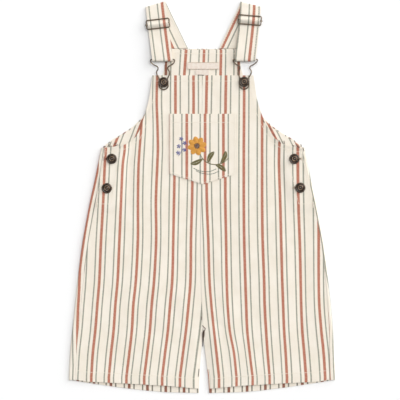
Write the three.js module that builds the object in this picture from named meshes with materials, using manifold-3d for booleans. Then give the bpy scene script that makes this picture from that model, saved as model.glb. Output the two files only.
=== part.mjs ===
// Kids bib overalls with short legs, laid flat on their back. Millimetres, +Z up.
// +Y runs from the hem to the straps and +X is to the right when seen from above, front side up.
// The origin is under the middle of the whole garment, on the surface that it lies on.

import * as THREE from 'three';
import Module from 'manifold-3d';
import { mergeVertices } from 'three/addons/utils/BufferGeometryUtils.js';

const wasm = await Module();
wasm.setup();

// Cloth and layers
const CLOTH = 1.2; // wall of the striped canvas
const FACING = 1.0; // wall of the facings
const LABEL = 0.8; // wall of the woven labels
const GAP = 0.3; // room between pieces at a seam, and between layers that touch
const ROLL = 2.0; // outer radius of the soft roll where the back wraps round the side
const FACING_Z = CLOTH + GAP; // underside of the facings, which lie on the back
const REST = FACING_Z + FACING + GAP + CLOTH; // top of the front where it lies on the facings

// Heights along the garment
const NECK_Y = 208; // top edge of the back
const BIB_Y = 170.7; // top edge of the bib
const ARMHOLE_Y = 69.5; // lowest point of the armholes, at the side
const OPENING_Y = -9; // lower end of the buttoned side opening
const CROTCH_Y = -182;

// Half of the garment's width at height y
const SIDE = [
  { y: 70, half: 142 },
  { y: 48, half: 146.6 },
  { y: 24, half: 151.4 },
  { y: -4, half: 157.6 },
  { y: -32, half: 163 },
  { y: -60, half: 168 },
  { y: -88, half: 172 },
  { y: -116, half: 175.2 },
  { y: -144, half: 178.2 },
  { y: -172, half: 181 },
  { y: -200, half: 183.4 },
  { y: -228, half: 185.2 },
  { y: -256, half: 186.4 },
];

// The centre seam, and below the crotch the inner edge of each leg
const INNER = [
  { y: 210, left: 0.15, right: 0.45 },
  { y: 60, left: -0.15, right: 0.15 },
  { y: -60, left: -2.65, right: -2.35 },
  { y: -130, left: -1.25, right: -0.95 },
  { y: CROTCH_Y, left: 1.15, right: 1.45 },
  { y: -204, left: -0.3, right: 3.1 },
  { y: -228, left: -2.2, right: 6 },
  { y: -252, left: -3.6, right: 9 },
  { y: -276, left: -4.2, right: 10.2 },
];

// How far the side seam lies inside the outline. The garment is turned a little, so the left seam shows more.
const SEAM_INSET = [
  { y: 70, left: 5.5, right: 4 },
  { y: OPENING_Y, left: 9.5, right: 3 },
  { y: -60, left: 9.5, right: 2.8 },
  { y: -100, left: 9.5, right: 3.8 },
  { y: -144, left: 9.5, right: 6.4 },
  { y: -256, left: 9.5, right: 8 },
];

// Upper ends of the front's columns: the bib's top edge, then down the armhole to the side
const FRONT_TOP = [
  { x: 0, y: BIB_Y },
  { x: 9, y: BIB_Y },
  { x: 18, y: BIB_Y },
  { x: 27, y: BIB_Y },
  { x: 36, y: BIB_Y },
  { x: 45, y: BIB_Y },
  { x: 54, y: BIB_Y },
  { x: 62, y: BIB_Y },
  { x: 70.3, y: BIB_Y },
  { x: 72, y: 154 },
  { x: 75, y: 136.5 },
  { x: 80, y: 121 },
  { x: 86, y: 108 },
  { x: 92, y: 96.5 },
  { x: 99, y: 86.5 },
  { x: 107, y: 79 },
  { x: 116, y: 74.2 },
  { x: 126, y: 71.2 },
  { x: 136.5, y: ARMHOLE_Y },
];

// Upper ends of the back's columns: the neck edge, then down the armhole to the side
const BACK_TOP = [
  { x: 0, y: NECK_Y },
  { x: 25, y: NECK_Y },
  { x: 50, y: NECK_Y },
  { x: 53.5, y: 181 },
  { x: 62, y: 150 },
  { x: 73.4, y: 128 },
  { x: 84.8, y: 111.5 },
  { x: 98, y: 99 },
  { x: 112, y: 89.5 },
  { x: 126, y: 81.5 },
  { x: 136, y: 74 },
  { x: 140, y: ARMHOLE_Y },
];

// Hems: y at a share of the way from the inner edge to the side
const FRONT_HEM = [
  { share: 0, y: -267.5 },
  { share: 0.25, y: -263.5 },
  { share: 0.6, y: -260 },
  { share: 0.9, y: -257.5 },
  { share: 1, y: -254.5 },
];
const BACK_HEM = [
  { share: 0, y: -273.5 },
  { share: 0.25, y: -272.4 },
  { share: 0.4, y: -270.3 },
  { share: 0.6, y: -266.1 },
  { share: 0.9, y: -258.3 },
  { share: 1, y: -255 },
];

const FRONT_ROWS = 21;
const BACK_ROWS = 18;
const ROLL_STEPS = 4;

// Soft folds of the front: a ridge from one point to the other, so wide and so high
const FOLDS = [
  { x0: 34, y0: -142, x1: 50, y1: -244, width: 9, height: 1.1 },
  { x0: 62, y0: -176, x1: 70, y1: -256, width: 12, height: 0.5 },
  { x0: -8, y0: -196, x1: -46, y1: -110, width: 13, height: 0.6 },
  { x0: -70, y0: -200, x1: -84, y1: -258, width: 14, height: 0.5 },
  { x0: -120, y0: -60, x1: -128, y1: -190, width: 15, height: 0.5 },
  { x0: 112, y0: -40, x1: 124, y1: -170, width: 15, height: 0.5 },
];

// The whole upper part lies a little to the right of the legs' middle
const SWAY = 2;
const SWAY_FROM_Y = 60;
const SWAY_TO_Y = 150;

const { smoothstep, clamp, lerp } = THREE.MathUtils;

// The value of one column of a table at a place, by straight lines between its rows
function along(table, key, value, at) {
  const rising = table[0][key] < table[table.length - 1][key];
  const rows = rising ? table : [...table].reverse();
  const place = clamp(at, rows[0][key], rows[rows.length - 1][key]);
  const next = Math.max(1, rows.findIndex((row) => row[key] >= place));
  const a = rows[next - 1];
  const b = rows[next];
  return lerp(a[value], b[value], (place - a[key]) / (b[key] - a[key]));
}

// The same by a smooth curve through the rows
function smoothAlong(table, key, value, at) {
  const rows = table[0][key] < table[table.length - 1][key] ? table : [...table].reverse();
  const last = rows.length - 1;
  const place = clamp(at, rows[0][key], rows[last][key]);
  const i = Math.max(1, rows.findIndex((row) => row[key] >= place)) - 1;
  const slope = (k) => {
    const a = rows[Math.max(0, k - 1)];
    const b = rows[Math.min(last, k + 1)];
    return (b[value] - a[value]) / (b[key] - a[key]);
  };
  const span = rows[i + 1][key] - rows[i][key];
  const t = (place - rows[i][key]) / span;
  const h = t * t * (3 - 2 * t);
  const bulge0 = t * (1 - t) * (1 - t) * span * slope(i);
  const bulge1 = t * t * (t - 1) * span * slope(i + 1);
  return lerp(rows[i][value], rows[i + 1][value], h) + bulge0 + bulge1;
}

const halfWidth = (y) => smoothAlong(SIDE, 'y', 'half', y);
const hand = (side) => (side < 0 ? 'left' : 'right');
const inset = (side, y) => along(SEAM_INSET, 'y', hand(side), y);
const sway = (y) => SWAY * smoothstep(y, SWAY_FROM_Y, SWAY_TO_Y);
const innerEdge = (side, y) => along(INNER, 'y', hand(side), y);

// Height of a soft ridge at a point. It fades out over a share of its length at each end.
const FADE = { before: -0.15, full: 0.25, past: 1.15 };

function ridge(fold, x, y) {
  const dx = fold.x1 - fold.x0;
  const dy = fold.y1 - fold.y0;
  const length = Math.hypot(dx, dy);
  const t = ((x - fold.x0) * dx + (y - fold.y0) * dy) / (length * length);
  const off = ((x - fold.x0) * dy - (y - fold.y0) * dx) / length;
  const ends = smoothstep(t, FADE.before, FADE.full) * (1 - smoothstep(t, 1 - FADE.full, FADE.past));
  return fold.height * ends * Math.exp(-((off / fold.width) ** 2));
}

// Top of the front panels: lying on the back, a little lofted, over the button stand at the side opening,
// and drawn down to the back along the inner leg seams
const LOFT = 0.8;
const OPENING_LIFT = GAP + CLOTH;
const STAND_WIDTH = 24;
const LIFT_RUN = 16; // the slope beside the button stand and below it
const INSEAM_DROP = REST - (CLOTH + GAP + CLOTH);
const INSEAM_RUN = 10;
const INSEAM_FROM_Y = CROTCH_Y + 4;
const INSEAM_FULL_Y = CROTCH_Y - 14;
const FOLD_MARGIN = 13; // folds die out this far from the seams

function frontTop(side, x, y) {
  const edge = halfWidth(y) - inset(side, y);
  const fromEdge = edge - side * (x - sway(y));
  const fromInner = side * (x - innerEdge(side, y));
  const across = clamp(fromInner / edge, 0, 1);
  const down = clamp((BIB_Y - y) / (BIB_Y - FRONT_HEM[0].y), 0, 1);
  const loft = LOFT * Math.sin(Math.PI * across) ** 2 * Math.sin(Math.PI * down) ** 2;
  const nearStand = 1 - smoothstep(fromEdge, STAND_WIDTH + GAP, STAND_WIDTH + LIFT_RUN);
  const lift = OPENING_LIFT * nearStand * smoothstep(y, OPENING_Y - LIFT_RUN, OPENING_Y - CLOTH);
  const inLeg = 1 - smoothstep(y, INSEAM_FULL_Y, INSEAM_FROM_Y);
  const drop = INSEAM_DROP * (1 - smoothstep(fromInner, 0, INSEAM_RUN)) * inLeg;
  const folds = FOLDS.reduce((sum, fold) => sum + ridge(fold, x, y), 0);
  const edges = smoothstep(fromInner, 0, FOLD_MARGIN) * smoothstep(fromEdge, 0, FOLD_MARGIN);
  return REST + loft + lift - drop + folds * edges;
}

// A closed wall between two grids of points of the same size
function wall(outer, inner) {
  const rows = outer.length;
  const cols = outer[0].length;
  const points = [...outer.flat(), ...inner.flat()];
  const at = (layer, i, j) => layer * rows * cols + i * cols + j;
  const faces = [];
  const quad = (a, b, c, d) => faces.push(a, b, c, a, c, d);
  for (let i = 0; i < rows - 1; i++) {
    for (let j = 0; j < cols - 1; j++) {
      quad(at(0, i, j), at(0, i + 1, j), at(0, i + 1, j + 1), at(0, i, j + 1));
      quad(at(1, i, j), at(1, i, j + 1), at(1, i + 1, j + 1), at(1, i + 1, j));
    }
  }
  for (let j = 0; j < cols - 1; j++) {
    quad(at(0, 0, j), at(0, 0, j + 1), at(1, 0, j + 1), at(1, 0, j));
    quad(at(0, rows - 1, j + 1), at(0, rows - 1, j), at(1, rows - 1, j), at(1, rows - 1, j + 1));
  }
  for (let i = 0; i < rows - 1; i++) {
    quad(at(0, i + 1, 0), at(0, i, 0), at(1, i, 0), at(1, i + 1, 0));
    quad(at(0, i, cols - 1), at(0, i + 1, cols - 1), at(1, i + 1, cols - 1), at(1, i, cols - 1));
  }
  return facingOut(points, faces);
}

// A geometry from points and faces, turned inside out if its volume comes out negative
function facingOut(points, faces) {
  const v = points.map((p) => new THREE.Vector3(...p));
  let volume = 0;
  for (let i = 0; i < faces.length; i += 3) {
    const normal = new THREE.Vector3().crossVectors(v[faces[i + 1]], v[faces[i + 2]]);
    volume += v[faces[i]].dot(normal);
  }
  const index = volume < 0 ? [...faces].reverse() : faces;
  const geometry = new THREE.BufferGeometry();
  geometry.setAttribute('position', new THREE.Float32BufferAttribute(points.flat(), 3));
  geometry.setIndex(index);
  geometry.computeVertexNormals();
  return geometry;
}

// Columns run down from the upper edge to the hem, and spread with the garment's width
const FRONT_REACH = FRONT_TOP[FRONT_TOP.length - 1].x;
const BACK_REACH = halfWidth(ARMHOLE_Y) - ROLL;

function frontPanel(side) {
  const column = ({ x, y: top }) => {
    const share = x / FRONT_REACH;
    const hem = along(FRONT_HEM, 'share', 'y', share);
    return Array.from({ length: FRONT_ROWS }, (_, row) => {
      const y = lerp(top, hem, row / (FRONT_ROWS - 1));
      const inner = innerEdge(side, y);
      const outer = side * (halfWidth(y) - inset(side, y)) + sway(y);
      const at = lerp(inner, outer, share);
      return [at, y, frontTop(side, at, y)];
    });
  };
  const outer = FRONT_TOP.map(column);
  const inner = outer.map((points) => points.map(([x, y, z]) => [x, y, z - CLOTH]));
  return wall(outer, inner);
}

// The back lies flat, rolls up at the side and returns over itself to the side seam
function backPanel(side) {
  const rowsOf = (top, share, place) => {
    const hem = along(BACK_HEM, 'share', 'y', share);
    return Array.from({ length: BACK_ROWS }, (_, row) => place(lerp(top, hem, row / (BACK_ROWS - 1))));
  };
  const outer = [];
  const inner = [];
  for (const { x, y: top } of BACK_TOP) {
    const share = clamp(x / BACK_REACH, 0, 1);
    const flatX = (y) => lerp(innerEdge(side, y), side * (halfWidth(y) - ROLL) + sway(y), share);
    outer.push(rowsOf(top, share, (y) => [flatX(y), y, 0]));
    inner.push(rowsOf(top, share, (y) => [flatX(y), y, CLOTH]));
  }
  for (let step = 1; step <= ROLL_STEPS; step++) {
    const angle = -Math.PI / 2 + (Math.PI * step) / ROLL_STEPS;
    const round = (radius) => (y) => {
      const x = side * (halfWidth(y) - ROLL + radius * Math.cos(angle)) + sway(y);
      return [x, y, ROLL + radius * Math.sin(angle)];
    };
    outer.push(rowsOf(ARMHOLE_Y, 1, round(ROLL)));
    inner.push(rowsOf(ARMHOLE_Y, 1, round(ROLL - CLOTH)));
  }
  const seamX = (y) => side * (halfWidth(y) - inset(side, y) + GAP) + sway(y);
  outer.push(rowsOf(ARMHOLE_Y, 1, (y) => [seamX(y), y, 2 * ROLL]));
  inner.push(rowsOf(ARMHOLE_Y, 1, (y) => [seamX(y), y, 2 * ROLL - CLOTH]));
  return wall(outer, inner);
}

// A flat strip on the inside of the back, between two rows of plan points
function strip(upper, lower, bottom, thickness) {
  const raised = (z) => [upper, lower].map((points) => points.map(([x, y]) => [x, y, z]));
  return wall(raised(bottom + thickness), raised(bottom));
}

// The strip along the back armhole, just inside the back's edge
const ARM_FACING_WIDTH = 17;
const ARM_FACING_FROM_X = 70;
const EDGE_MARGIN = 1;

function armholeFacing(side) {
  const edge = BACK_TOP.filter(({ x }) => x > ARM_FACING_FROM_X);
  const plan = edge.map(({ x, y }) => {
    const outer = side * (halfWidth(y) - ROLL) + sway(y);
    const edgeX = lerp(innerEdge(side, y), outer, x / BACK_REACH);
    return [edgeX - side * EDGE_MARGIN, y - EDGE_MARGIN];
  });
  const lower = plan.map(([x, y], i) => {
    const a = plan[Math.max(0, i - 1)];
    const b = plan[Math.min(plan.length - 1, i + 1)];
    const length = Math.hypot(b[0] - a[0], b[1] - a[1]);
    const turn = (side * ARM_FACING_WIDTH) / length;
    return [x + (b[1] - a[1]) * turn, y - (b[0] - a[0]) * turn];
  });
  return strip(plan, lower, FACING_Z, FACING);
}

// The button stand under the front's side opening
const STAND_ROWS = 8;

function sidePlacket(side) {
  const rows = Array.from({ length: STAND_ROWS }, (_, i) => {
    return lerp(ARMHOLE_Y - EDGE_MARGIN, OPENING_Y, i / (STAND_ROWS - 1));
  });
  const at = (y, from) => [side * (halfWidth(y) - inset(side, y) - from) + sway(y), y];
  const nearSeam = rows.map((y) => at(y, 0));
  const inside = rows.map((y) => at(y, STAND_WIDTH));
  return strip(nearSeam, inside, 2 * ROLL - CLOTH, CLOTH);
}

// The facing at the neck and the labels on it
const NECK_FACING = { x: 1.6, half: 47.5, top: NECK_Y - EDGE_MARGIN, bottom: 156 };
const MAIN_LABEL = { x: 1.5, y: 184, width: 44, height: 9.6 };
const SIZE_LABEL = { x: 0.2, width: 19, height: 7.6 };

function backFacing() {
  const { x, half, top, bottom } = NECK_FACING;
  const xs = [x - half, x, x + half];
  return strip(xs.map((at) => [at, top]), xs.map((at) => [at, bottom]), FACING_Z, FACING);
}

function label({ x, y, width, height }) {
  const geometry = new THREE.BoxGeometry(width, height, LABEL);
  return geometry.translate(x, y, FACING_Z + FACING + GAP + LABEL / 2);
}

// The chest pocket, made from the front's own surface and moved out
const POCKET = { x: 1.3, half: 46.6, top: 116.9, side: 33.2, point: 18.3 };
const POCKET_COLUMNS = 12;
const POCKET_ROWS = 8;

function chestPocket() {
  const layer = (lift) =>
    Array.from({ length: POCKET_COLUMNS + 1 }, (_, i) => {
      const across = (2 * i) / POCKET_COLUMNS - 1;
      const bottom = lerp(POCKET.point, POCKET.side, Math.abs(across));
      const x = POCKET.x + POCKET.half * across;
      return Array.from({ length: POCKET_ROWS }, (_, row) => {
        const y = lerp(POCKET.top, bottom, row / (POCKET_ROWS - 1));
        return [x, y, frontTop(Math.sign(x) || 1, x, y) + lift];
      });
    });
  return wall(layer(GAP + CLOTH), layer(GAP));
}

// Straps, in plan: round the buckle's bar, past the slider, flat fold at the shoulder, root at the back
const STRAP = { half: 14.25, wall: 1.4 };
const STRAPS = {
  left: { bar: [-55.2, 192.8], slider: [-61.6, 242.5], fold: [-64.9, 270], root: [-35.4, 208.3], tilt: 6.6 },
  right: { bar: [60.6, 192.8], slider: [66.6, 247.8], fold: [68, 270], root: [39.2, 208.3], tilt: -5 },
};
const WIRE = 1.05; // radius of the buckle's and the slider's wire
const SLIDER = { halfX: 16, halfY: 6.25, corner: 1.8, nub: 1.8 };
const LAYER = STRAP.wall + GAP; // from one strap layer to the next
const CLEAR = WIRE + GAP + STRAP.wall / 2; // from a wire's centre to the middle of a strap on it
const FLOOR_LAYER = STRAP.wall / 2; // middle of the strap where it lies on the floor
const SLIDER_Z = FLOOR_LAYER + 2 * LAYER + CLEAR;
const BAR_Z = FACING_Z + FACING + GAP + STRAP.wall / 2 + CLEAR;
const FOLD_STEPS = 6;
const TURN_STEPS = 8;
const ARC_STEPS = 4; // steps of the top layer past each bar of the slider
const BACK_RUN_STEPS = 5;
const UNDER_END = 1; // the under layer ends this far past the slider's centre bar
const SLOPE = 3; // the under layer climbs to the centre bar over this length
const STRAIGHT = 3; // both layers lie level for this far beside the slider's outer bars
const BAR_RUN = 9; // where the layers leave the buckle's bar
const FOLD_RUN = 7; // where the top layer has nearly come down to its fold
const TOP_SHARES = [0.14, 0.3, 0.5, 0.7]; // stations of the top layer between the bar and the slider
const LEVEL_SHARE = 0.9; // the top layer has come down after this share of that stretch

// A flat ribbon through stations, each with its middle point and half of its width as a vector
function ribbon(stations) {
  const outer = [[], []];
  const inner = [[], []];
  stations.forEach(({ point, cross }, i) => {
    const before = stations[Math.max(0, i - 1)].point;
    const after = stations[Math.min(stations.length - 1, i + 1)].point;
    const up = new THREE.Vector3().subVectors(after, before).cross(cross).normalize();
    up.multiplyScalar(STRAP.wall / 2);
    [-1, 1].forEach((edge, k) => {
      const middle = point.clone().addScaledVector(cross, edge);
      outer[k].push(middle.clone().add(up).toArray());
      inner[k].push(middle.clone().sub(up).toArray());
    });
  });
  return wall(outer, inner);
}

function strap({ bar, slider, fold, root }) {
  const flat = ([x, y]) => new THREE.Vector3(x, y, 0);
  const run = new THREE.CatmullRomCurve3([flat(bar), flat(slider), flat(fold)]);
  const length = run.getLength();
  const lengths = run.getLengths(200);
  const sliderAt = lengths[100];
  const stations = [];
  const upward = new THREE.Vector3(0, 0, 1);

  // The turn that brings a cut across a direction in line with X
  const levelTurn = (ahead) => {
    const square = new THREE.Vector3().crossVectors(upward, ahead);
    return Math.atan(-square.y / ahead.y);
  };

  // One station on the front run, at a distance from the bar, with its cut turned by an angle
  const onRun = (distance, z, turn = 0) => {
    const share = clamp(distance / length, 0, 1);
    const ahead = run.getTangentAt(share);
    const cross = new THREE.Vector3().crossVectors(upward, ahead);
    const point = run.getPointAt(share).setZ(z);
    cross.addScaledVector(ahead, Math.tan(turn)).multiplyScalar(STRAP.half);
    stations.push({ point, cross });
  };

  // The under layer, from its end beneath the slider's centre bar down to the buckle's bar
  const underZ = FLOOR_LAYER + LAYER;
  const lowZ = SLIDER_Z - CLEAR;
  onRun(sliderAt + UNDER_END, lowZ);
  onRun(sliderAt - UNDER_END, lowZ);
  onRun(sliderAt - UNDER_END - SLOPE, underZ);
  onRun(sliderAt - SLIDER.halfY - STRAIGHT, underZ);
  onRun(sliderAt / 2, lerp(BAR_Z - CLEAR, underZ, 1 / 2));
  const barTurn = levelTurn(run.getTangentAt(0));
  onRun(BAR_RUN, BAR_Z - CLEAR, barTurn / 2);

  // Round the buckle's bar, which lies level
  const reach = STRAP.half / Math.cos(barTurn);
  for (let step = 0; step <= TURN_STEPS; step++) {
    const angle = (Math.PI * step) / TURN_STEPS;
    const y = bar[1] - CLEAR * Math.sin(angle);
    const point = new THREE.Vector3(bar[0], y, BAR_Z - CLEAR * Math.cos(angle));
    stations.push({ point, cross: new THREE.Vector3(-reach, 0, 0) });
  }

  // The top layer, up to the slider, under its lower bar, over its centre bar and under its upper bar
  for (const share of TOP_SHARES) {
    const z = lerp(BAR_Z + CLEAR, lowZ, smoothstep(share, 0, LEVEL_SHARE));
    onRun((sliderAt - SLIDER.halfY) * share, z, share === TOP_SHARES[0] ? barTurn / 2 : 0);
  }
  onRun(sliderAt - SLIDER.halfY - STRAIGHT, lowZ);
  const lean = Math.asin((2 * CLEAR) / SLIDER.halfY);
  const arc = (centre, from, to, sign) => {
    for (let step = 0; step <= ARC_STEPS; step++) {
      const angle = lerp(from, to, step / ARC_STEPS);
      onRun(sliderAt + centre + CLEAR * Math.sin(angle), SLIDER_Z + sign * CLEAR * Math.cos(angle));
    }
  };
  arc(-SLIDER.halfY, 0, lean, -1);
  arc(0, -lean, lean, 1);
  arc(SLIDER.halfY, -lean, 0, -1);
  onRun(sliderAt + SLIDER.halfY + STRAIGHT, lowZ);

  // The flat fold at the shoulder: the crease lies square to the line between both runs' directions
  const radius = LAYER / 2;
  const backAhead = flat(fold).sub(flat(root)).normalize();
  const frontAhead = run.getTangentAt(1);
  const middle = new THREE.Vector3().addVectors(backAhead, frontAhead).normalize();
  const crease = new THREE.Vector3().crossVectors(upward, middle);
  const turnOf = (direction) => {
    const square = new THREE.Vector3().crossVectors(upward, direction);
    return Math.atan2(crease.dot(direction), crease.dot(square));
  };
  const frontTurn = turnOf(frontAhead);
  const backTurn = turnOf(backAhead);
  onRun(length - FOLD_RUN, lerp(lowZ, underZ, 3 / 4), frontTurn / 2);
  const stretch = STRAP.half / Math.cos(frontTurn);
  for (let step = 0; step <= FOLD_STEPS; step++) {
    const angle = (Math.PI * step) / FOLD_STEPS;
    const point = flat(fold).addScaledVector(middle, radius * Math.sin(angle) - radius);
    point.setZ(FLOOR_LAYER + radius + radius * Math.cos(angle));
    stations.push({ point, cross: crease.clone().multiplyScalar(stretch) });
  }

  // The back run, down to its root, which is cut along the back's top edge
  const start = flat(fold).addScaledVector(middle, -radius);
  const upRun = start.clone().sub(flat(root)).normalize();
  const square = new THREE.Vector3().crossVectors(upward, upRun);
  const rootTurn = levelTurn(upRun);
  for (let step = 1; step <= BACK_RUN_STEPS; step++) {
    const share = step / BACK_RUN_STEPS;
    const point = start.clone().lerp(flat(root), share).setZ(FLOOR_LAYER);
    const turn = lerp(backTurn, rootTurn, share);
    const cut = square.clone().addScaledVector(upRun, Math.tan(turn)).multiplyScalar(STRAP.half);
    stations.push({ point, cross: cut });
  }
  return ribbon(stations);
}

// A closed round wire along a closed list of points, none of it upright
const WIRE_SIDES = 8;

function wireRing(points) {
  const count = points.length;
  const grid = points.map((point, i) => {
    const ahead = new THREE.Vector3().subVectors(points[(i + 1) % count], points[(i + count - 1) % count]);
    const side = new THREE.Vector3(0, 0, 1).cross(ahead).normalize();
    const up = new THREE.Vector3().crossVectors(ahead, side).normalize();
    return Array.from({ length: WIRE_SIDES }, (_, k) => {
      const angle = (2 * Math.PI * k) / WIRE_SIDES;
      const place = point.clone().addScaledVector(side, WIRE * Math.cos(angle));
      return place.addScaledVector(up, WIRE * Math.sin(angle)).toArray();
    });
  });
  const faces = [];
  for (let i = 0; i < count; i++) {
    for (let k = 0; k < WIRE_SIDES; k++) {
      const a = i * WIRE_SIDES + k;
      const b = i * WIRE_SIDES + ((k + 1) % WIRE_SIDES);
      const c = ((i + 1) % count) * WIRE_SIDES + ((k + 1) % WIRE_SIDES);
      const d = ((i + 1) % count) * WIRE_SIDES + k;
      faces.push(a, b, c, a, c, d);
    }
  }
  return facingOut(grid.flat(), faces);
}

// Wire buckle: half of its outline from the foot of its loop up to its bar, off and up from the button
const BUCKLE = [
  { off: 0, up: -10.2 },
  { off: 3.6, up: -9.1 },
  { off: 6.1, up: -6 },
  { off: 6.3, up: -2 },
  { off: 5.7, up: 2.4 },
  { off: 6.4, up: 6.6 },
  { off: 8.9, up: 11.4 },
  { off: 9, up: 15 },
  { off: 6.9, up: 18.6 },
  { off: 7.4, up: 21.6 },
  { off: 11.6, up: 24 },
  { off: 15.6, up: 27.2 },
  { off: 16.8, up: 29.8 },
  { off: 16.5, up: 31.4 },
];
const BUCKLE_STEPS = 54;
const WIRE_Z = REST + GAP + WIRE; // middle of the wire where it lies on the bib
const BAR_END = 15; // the straight part of the bar, each way from its middle

function buckle({ x, y, barX, barY }) {
  const rise = barY - y;
  const place = ({ off, up }, sign) => {
    const share = clamp(up / rise, 0, 1);
    return new THREE.Vector3(lerp(x, barX, share) + sign * off, y + up, lerp(WIRE_Z, BAR_Z, share));
  };
  const right = BUCKLE.map((row) => place(row, 1));
  const left = BUCKLE.slice(1).map((row) => place(row, -1)).reverse();
  const bar = [place({ off: BAR_END, up: rise }, 1), place({ off: BAR_END, up: rise }, -1)];
  const curve = new THREE.CatmullRomCurve3([...right, ...bar, ...left], true, 'centripetal');
  return wireRing(curve.getSpacedPoints(BUCKLE_STEPS).slice(0, -1));
}

// Slider: a rounded frame of wire, and a centre bar whose end stands out on the outer side
const CORNER_STEPS = 4;

function solid(geometry) {
  const bare = new THREE.BufferGeometry();
  bare.setAttribute('position', geometry.getAttribute('position').clone());
  if (geometry.index) bare.setIndex(geometry.index.clone());
  const merged = mergeVertices(bare);
  const mesh = new wasm.Mesh({
    numProp: 3,
    vertProperties: new Float32Array(merged.getAttribute('position').array),
    triVerts: new Uint32Array(merged.index.array),
  });
  return new wasm.Manifold(mesh);
}

function geometryOf(manifold) {
  const mesh = manifold.getMesh();
  const geometry = new THREE.BufferGeometry();
  geometry.setAttribute('position', new THREE.BufferAttribute(new Float32Array(mesh.vertProperties), 3));
  geometry.setIndex(new THREE.BufferAttribute(new Uint32Array(mesh.triVerts), 1));
  return geometry;
}

function slider(outward) {
  const { halfX, halfY, corner, nub } = SLIDER;
  const corners = [[1, 1, 0], [-1, 1, 1], [-1, -1, 2], [1, -1, 3]];
  const points = corners.flatMap(([sx, sy, quarter]) =>
    Array.from({ length: CORNER_STEPS + 1 }, (_, i) => {
      const angle = (Math.PI / 2) * (quarter + i / CORNER_STEPS);
      const x = sx * (halfX - corner) + corner * Math.cos(angle);
      return new THREE.Vector3(x, sy * (halfY - corner) + corner * Math.sin(angle), 0);
    }),
  );
  const bar = new THREE.CylinderGeometry(WIRE, WIRE, 2 * halfX + nub, WIRE_SIDES);
  bar.rotateZ(Math.PI / 2).translate((outward * nub) / 2, 0, 0);
  return geometryOf(solid(wireRing(points)).add(solid(bar)));
}

// Buttons: radius and height of the profile, from the foot of the shank to the top of the dome
const BUTTON_SEGMENTS = 18;
const BUTTON_HEAD = [
  { r: 5.4, z: 0 },
  { r: 6.9, z: 0.5 },
  { r: 7.2, z: 1.1 },
  { r: 6.7, z: 1.9 },
  { r: 5.7, z: 2.2 },
  { r: 5, z: 1.9 },
  { r: 2.8, z: 2.5 },
  { r: 0, z: 2.7 },
];
const SHANK = 3.2;

function button(foot) {
  const head = BUTTON_HEAD.map(({ r, z }) => new THREE.Vector2(r, z + foot));
  const shank = [new THREE.Vector2(0, 0), new THREE.Vector2(SHANK, 0), new THREE.Vector2(SHANK, foot)];
  return new THREE.LatheGeometry([...shank, ...head], BUTTON_SEGMENTS).rotateX(Math.PI / 2);
}

// Places of the buttons
const BIB_BUTTONS = { left: { x: -53.6, y: 160.9 }, right: { x: 58.9, y: 161.5 } };
const SIDE_BUTTONS = {
  side_button_left_upper: { x: -126, y: 54 },
  side_button_left_lower: { x: -132.9, y: 13 },
  side_button_right_upper: { x: 129.1, y: 54 },
  side_button_right_lower: { x: 137.2, y: 13.7 },
};
const BIB_SHANK = 2 * WIRE + GAP; // length of the shank that the wire goes round
const SIDE_SHANK = 0.8;

// Colours and finishes
const canvas = (color) => new THREE.MeshStandardMaterial({ color, roughness: 0.9, metalness: 0 });
const COLOURS = { front: '#efe8d9', back: '#e9e1d0', facing: '#e4dbc9', pocket: '#f2ebdd', strap: '#ece4d4' };
const metal = (color) => new THREE.MeshStandardMaterial({ color, roughness: 0.45, metalness: 0.9 });

const overalls = new THREE.Group();

function piece(name, geometry, material) {
  const mesh = new THREE.Mesh(geometry, material);
  mesh.name = name;
  overalls.add(mesh);
  return mesh;
}

for (const [word, side] of [['left', -1], ['right', 1]]) {
  piece(`back_${word}`, backPanel(side), canvas(COLOURS.back));
  piece(`front_${word}`, frontPanel(side), canvas(COLOURS.front));
  piece(`armhole_facing_${word}`, armholeFacing(side), canvas(COLOURS.facing));
  piece(`side_placket_${word}`, sidePlacket(side), canvas(COLOURS.back));
  piece(`strap_${word}`, strap(STRAPS[word]), canvas(COLOURS.strap));

  const { slider: place, tilt, bar } = STRAPS[word];
  const frame = piece(`slider_${word}`, slider(side), metal('#5a5148'));
  frame.position.set(place[0], place[1], SLIDER_Z);
  frame.rotation.z = THREE.MathUtils.degToRad(tilt);

  const at = BIB_BUTTONS[word];
  piece(`buckle_${word}`, buckle({ ...at, barX: bar[0], barY: bar[1] }), metal('#4a3f35'));
  const stud = piece(`bib_button_${word}`, button(BIB_SHANK), metal('#4b4339'));
  stud.position.set(at.x, at.y, frontTop(side, at.x, at.y) + GAP);
}
for (const [name, { x, y }] of Object.entries(SIDE_BUTTONS)) {
  const stud = piece(name, button(SIDE_SHANK), metal('#4b4339'));
  stud.position.set(x, y, frontTop(Math.sign(x), x, y) + GAP);
}
piece('chest_pocket', chestPocket(), canvas(COLOURS.pocket));
piece('back_facing', backFacing(), canvas(COLOURS.facing));
piece('label_main', label(MAIN_LABEL), canvas('#e8d3c4'));
const sizeLabelY = MAIN_LABEL.y - MAIN_LABEL.height / 2 - GAP - SIZE_LABEL.height / 2;
piece('label_size', label({ ...SIZE_LABEL, y: sizeLabelY }), canvas('#ead8ca'));

export default overalls;
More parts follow.
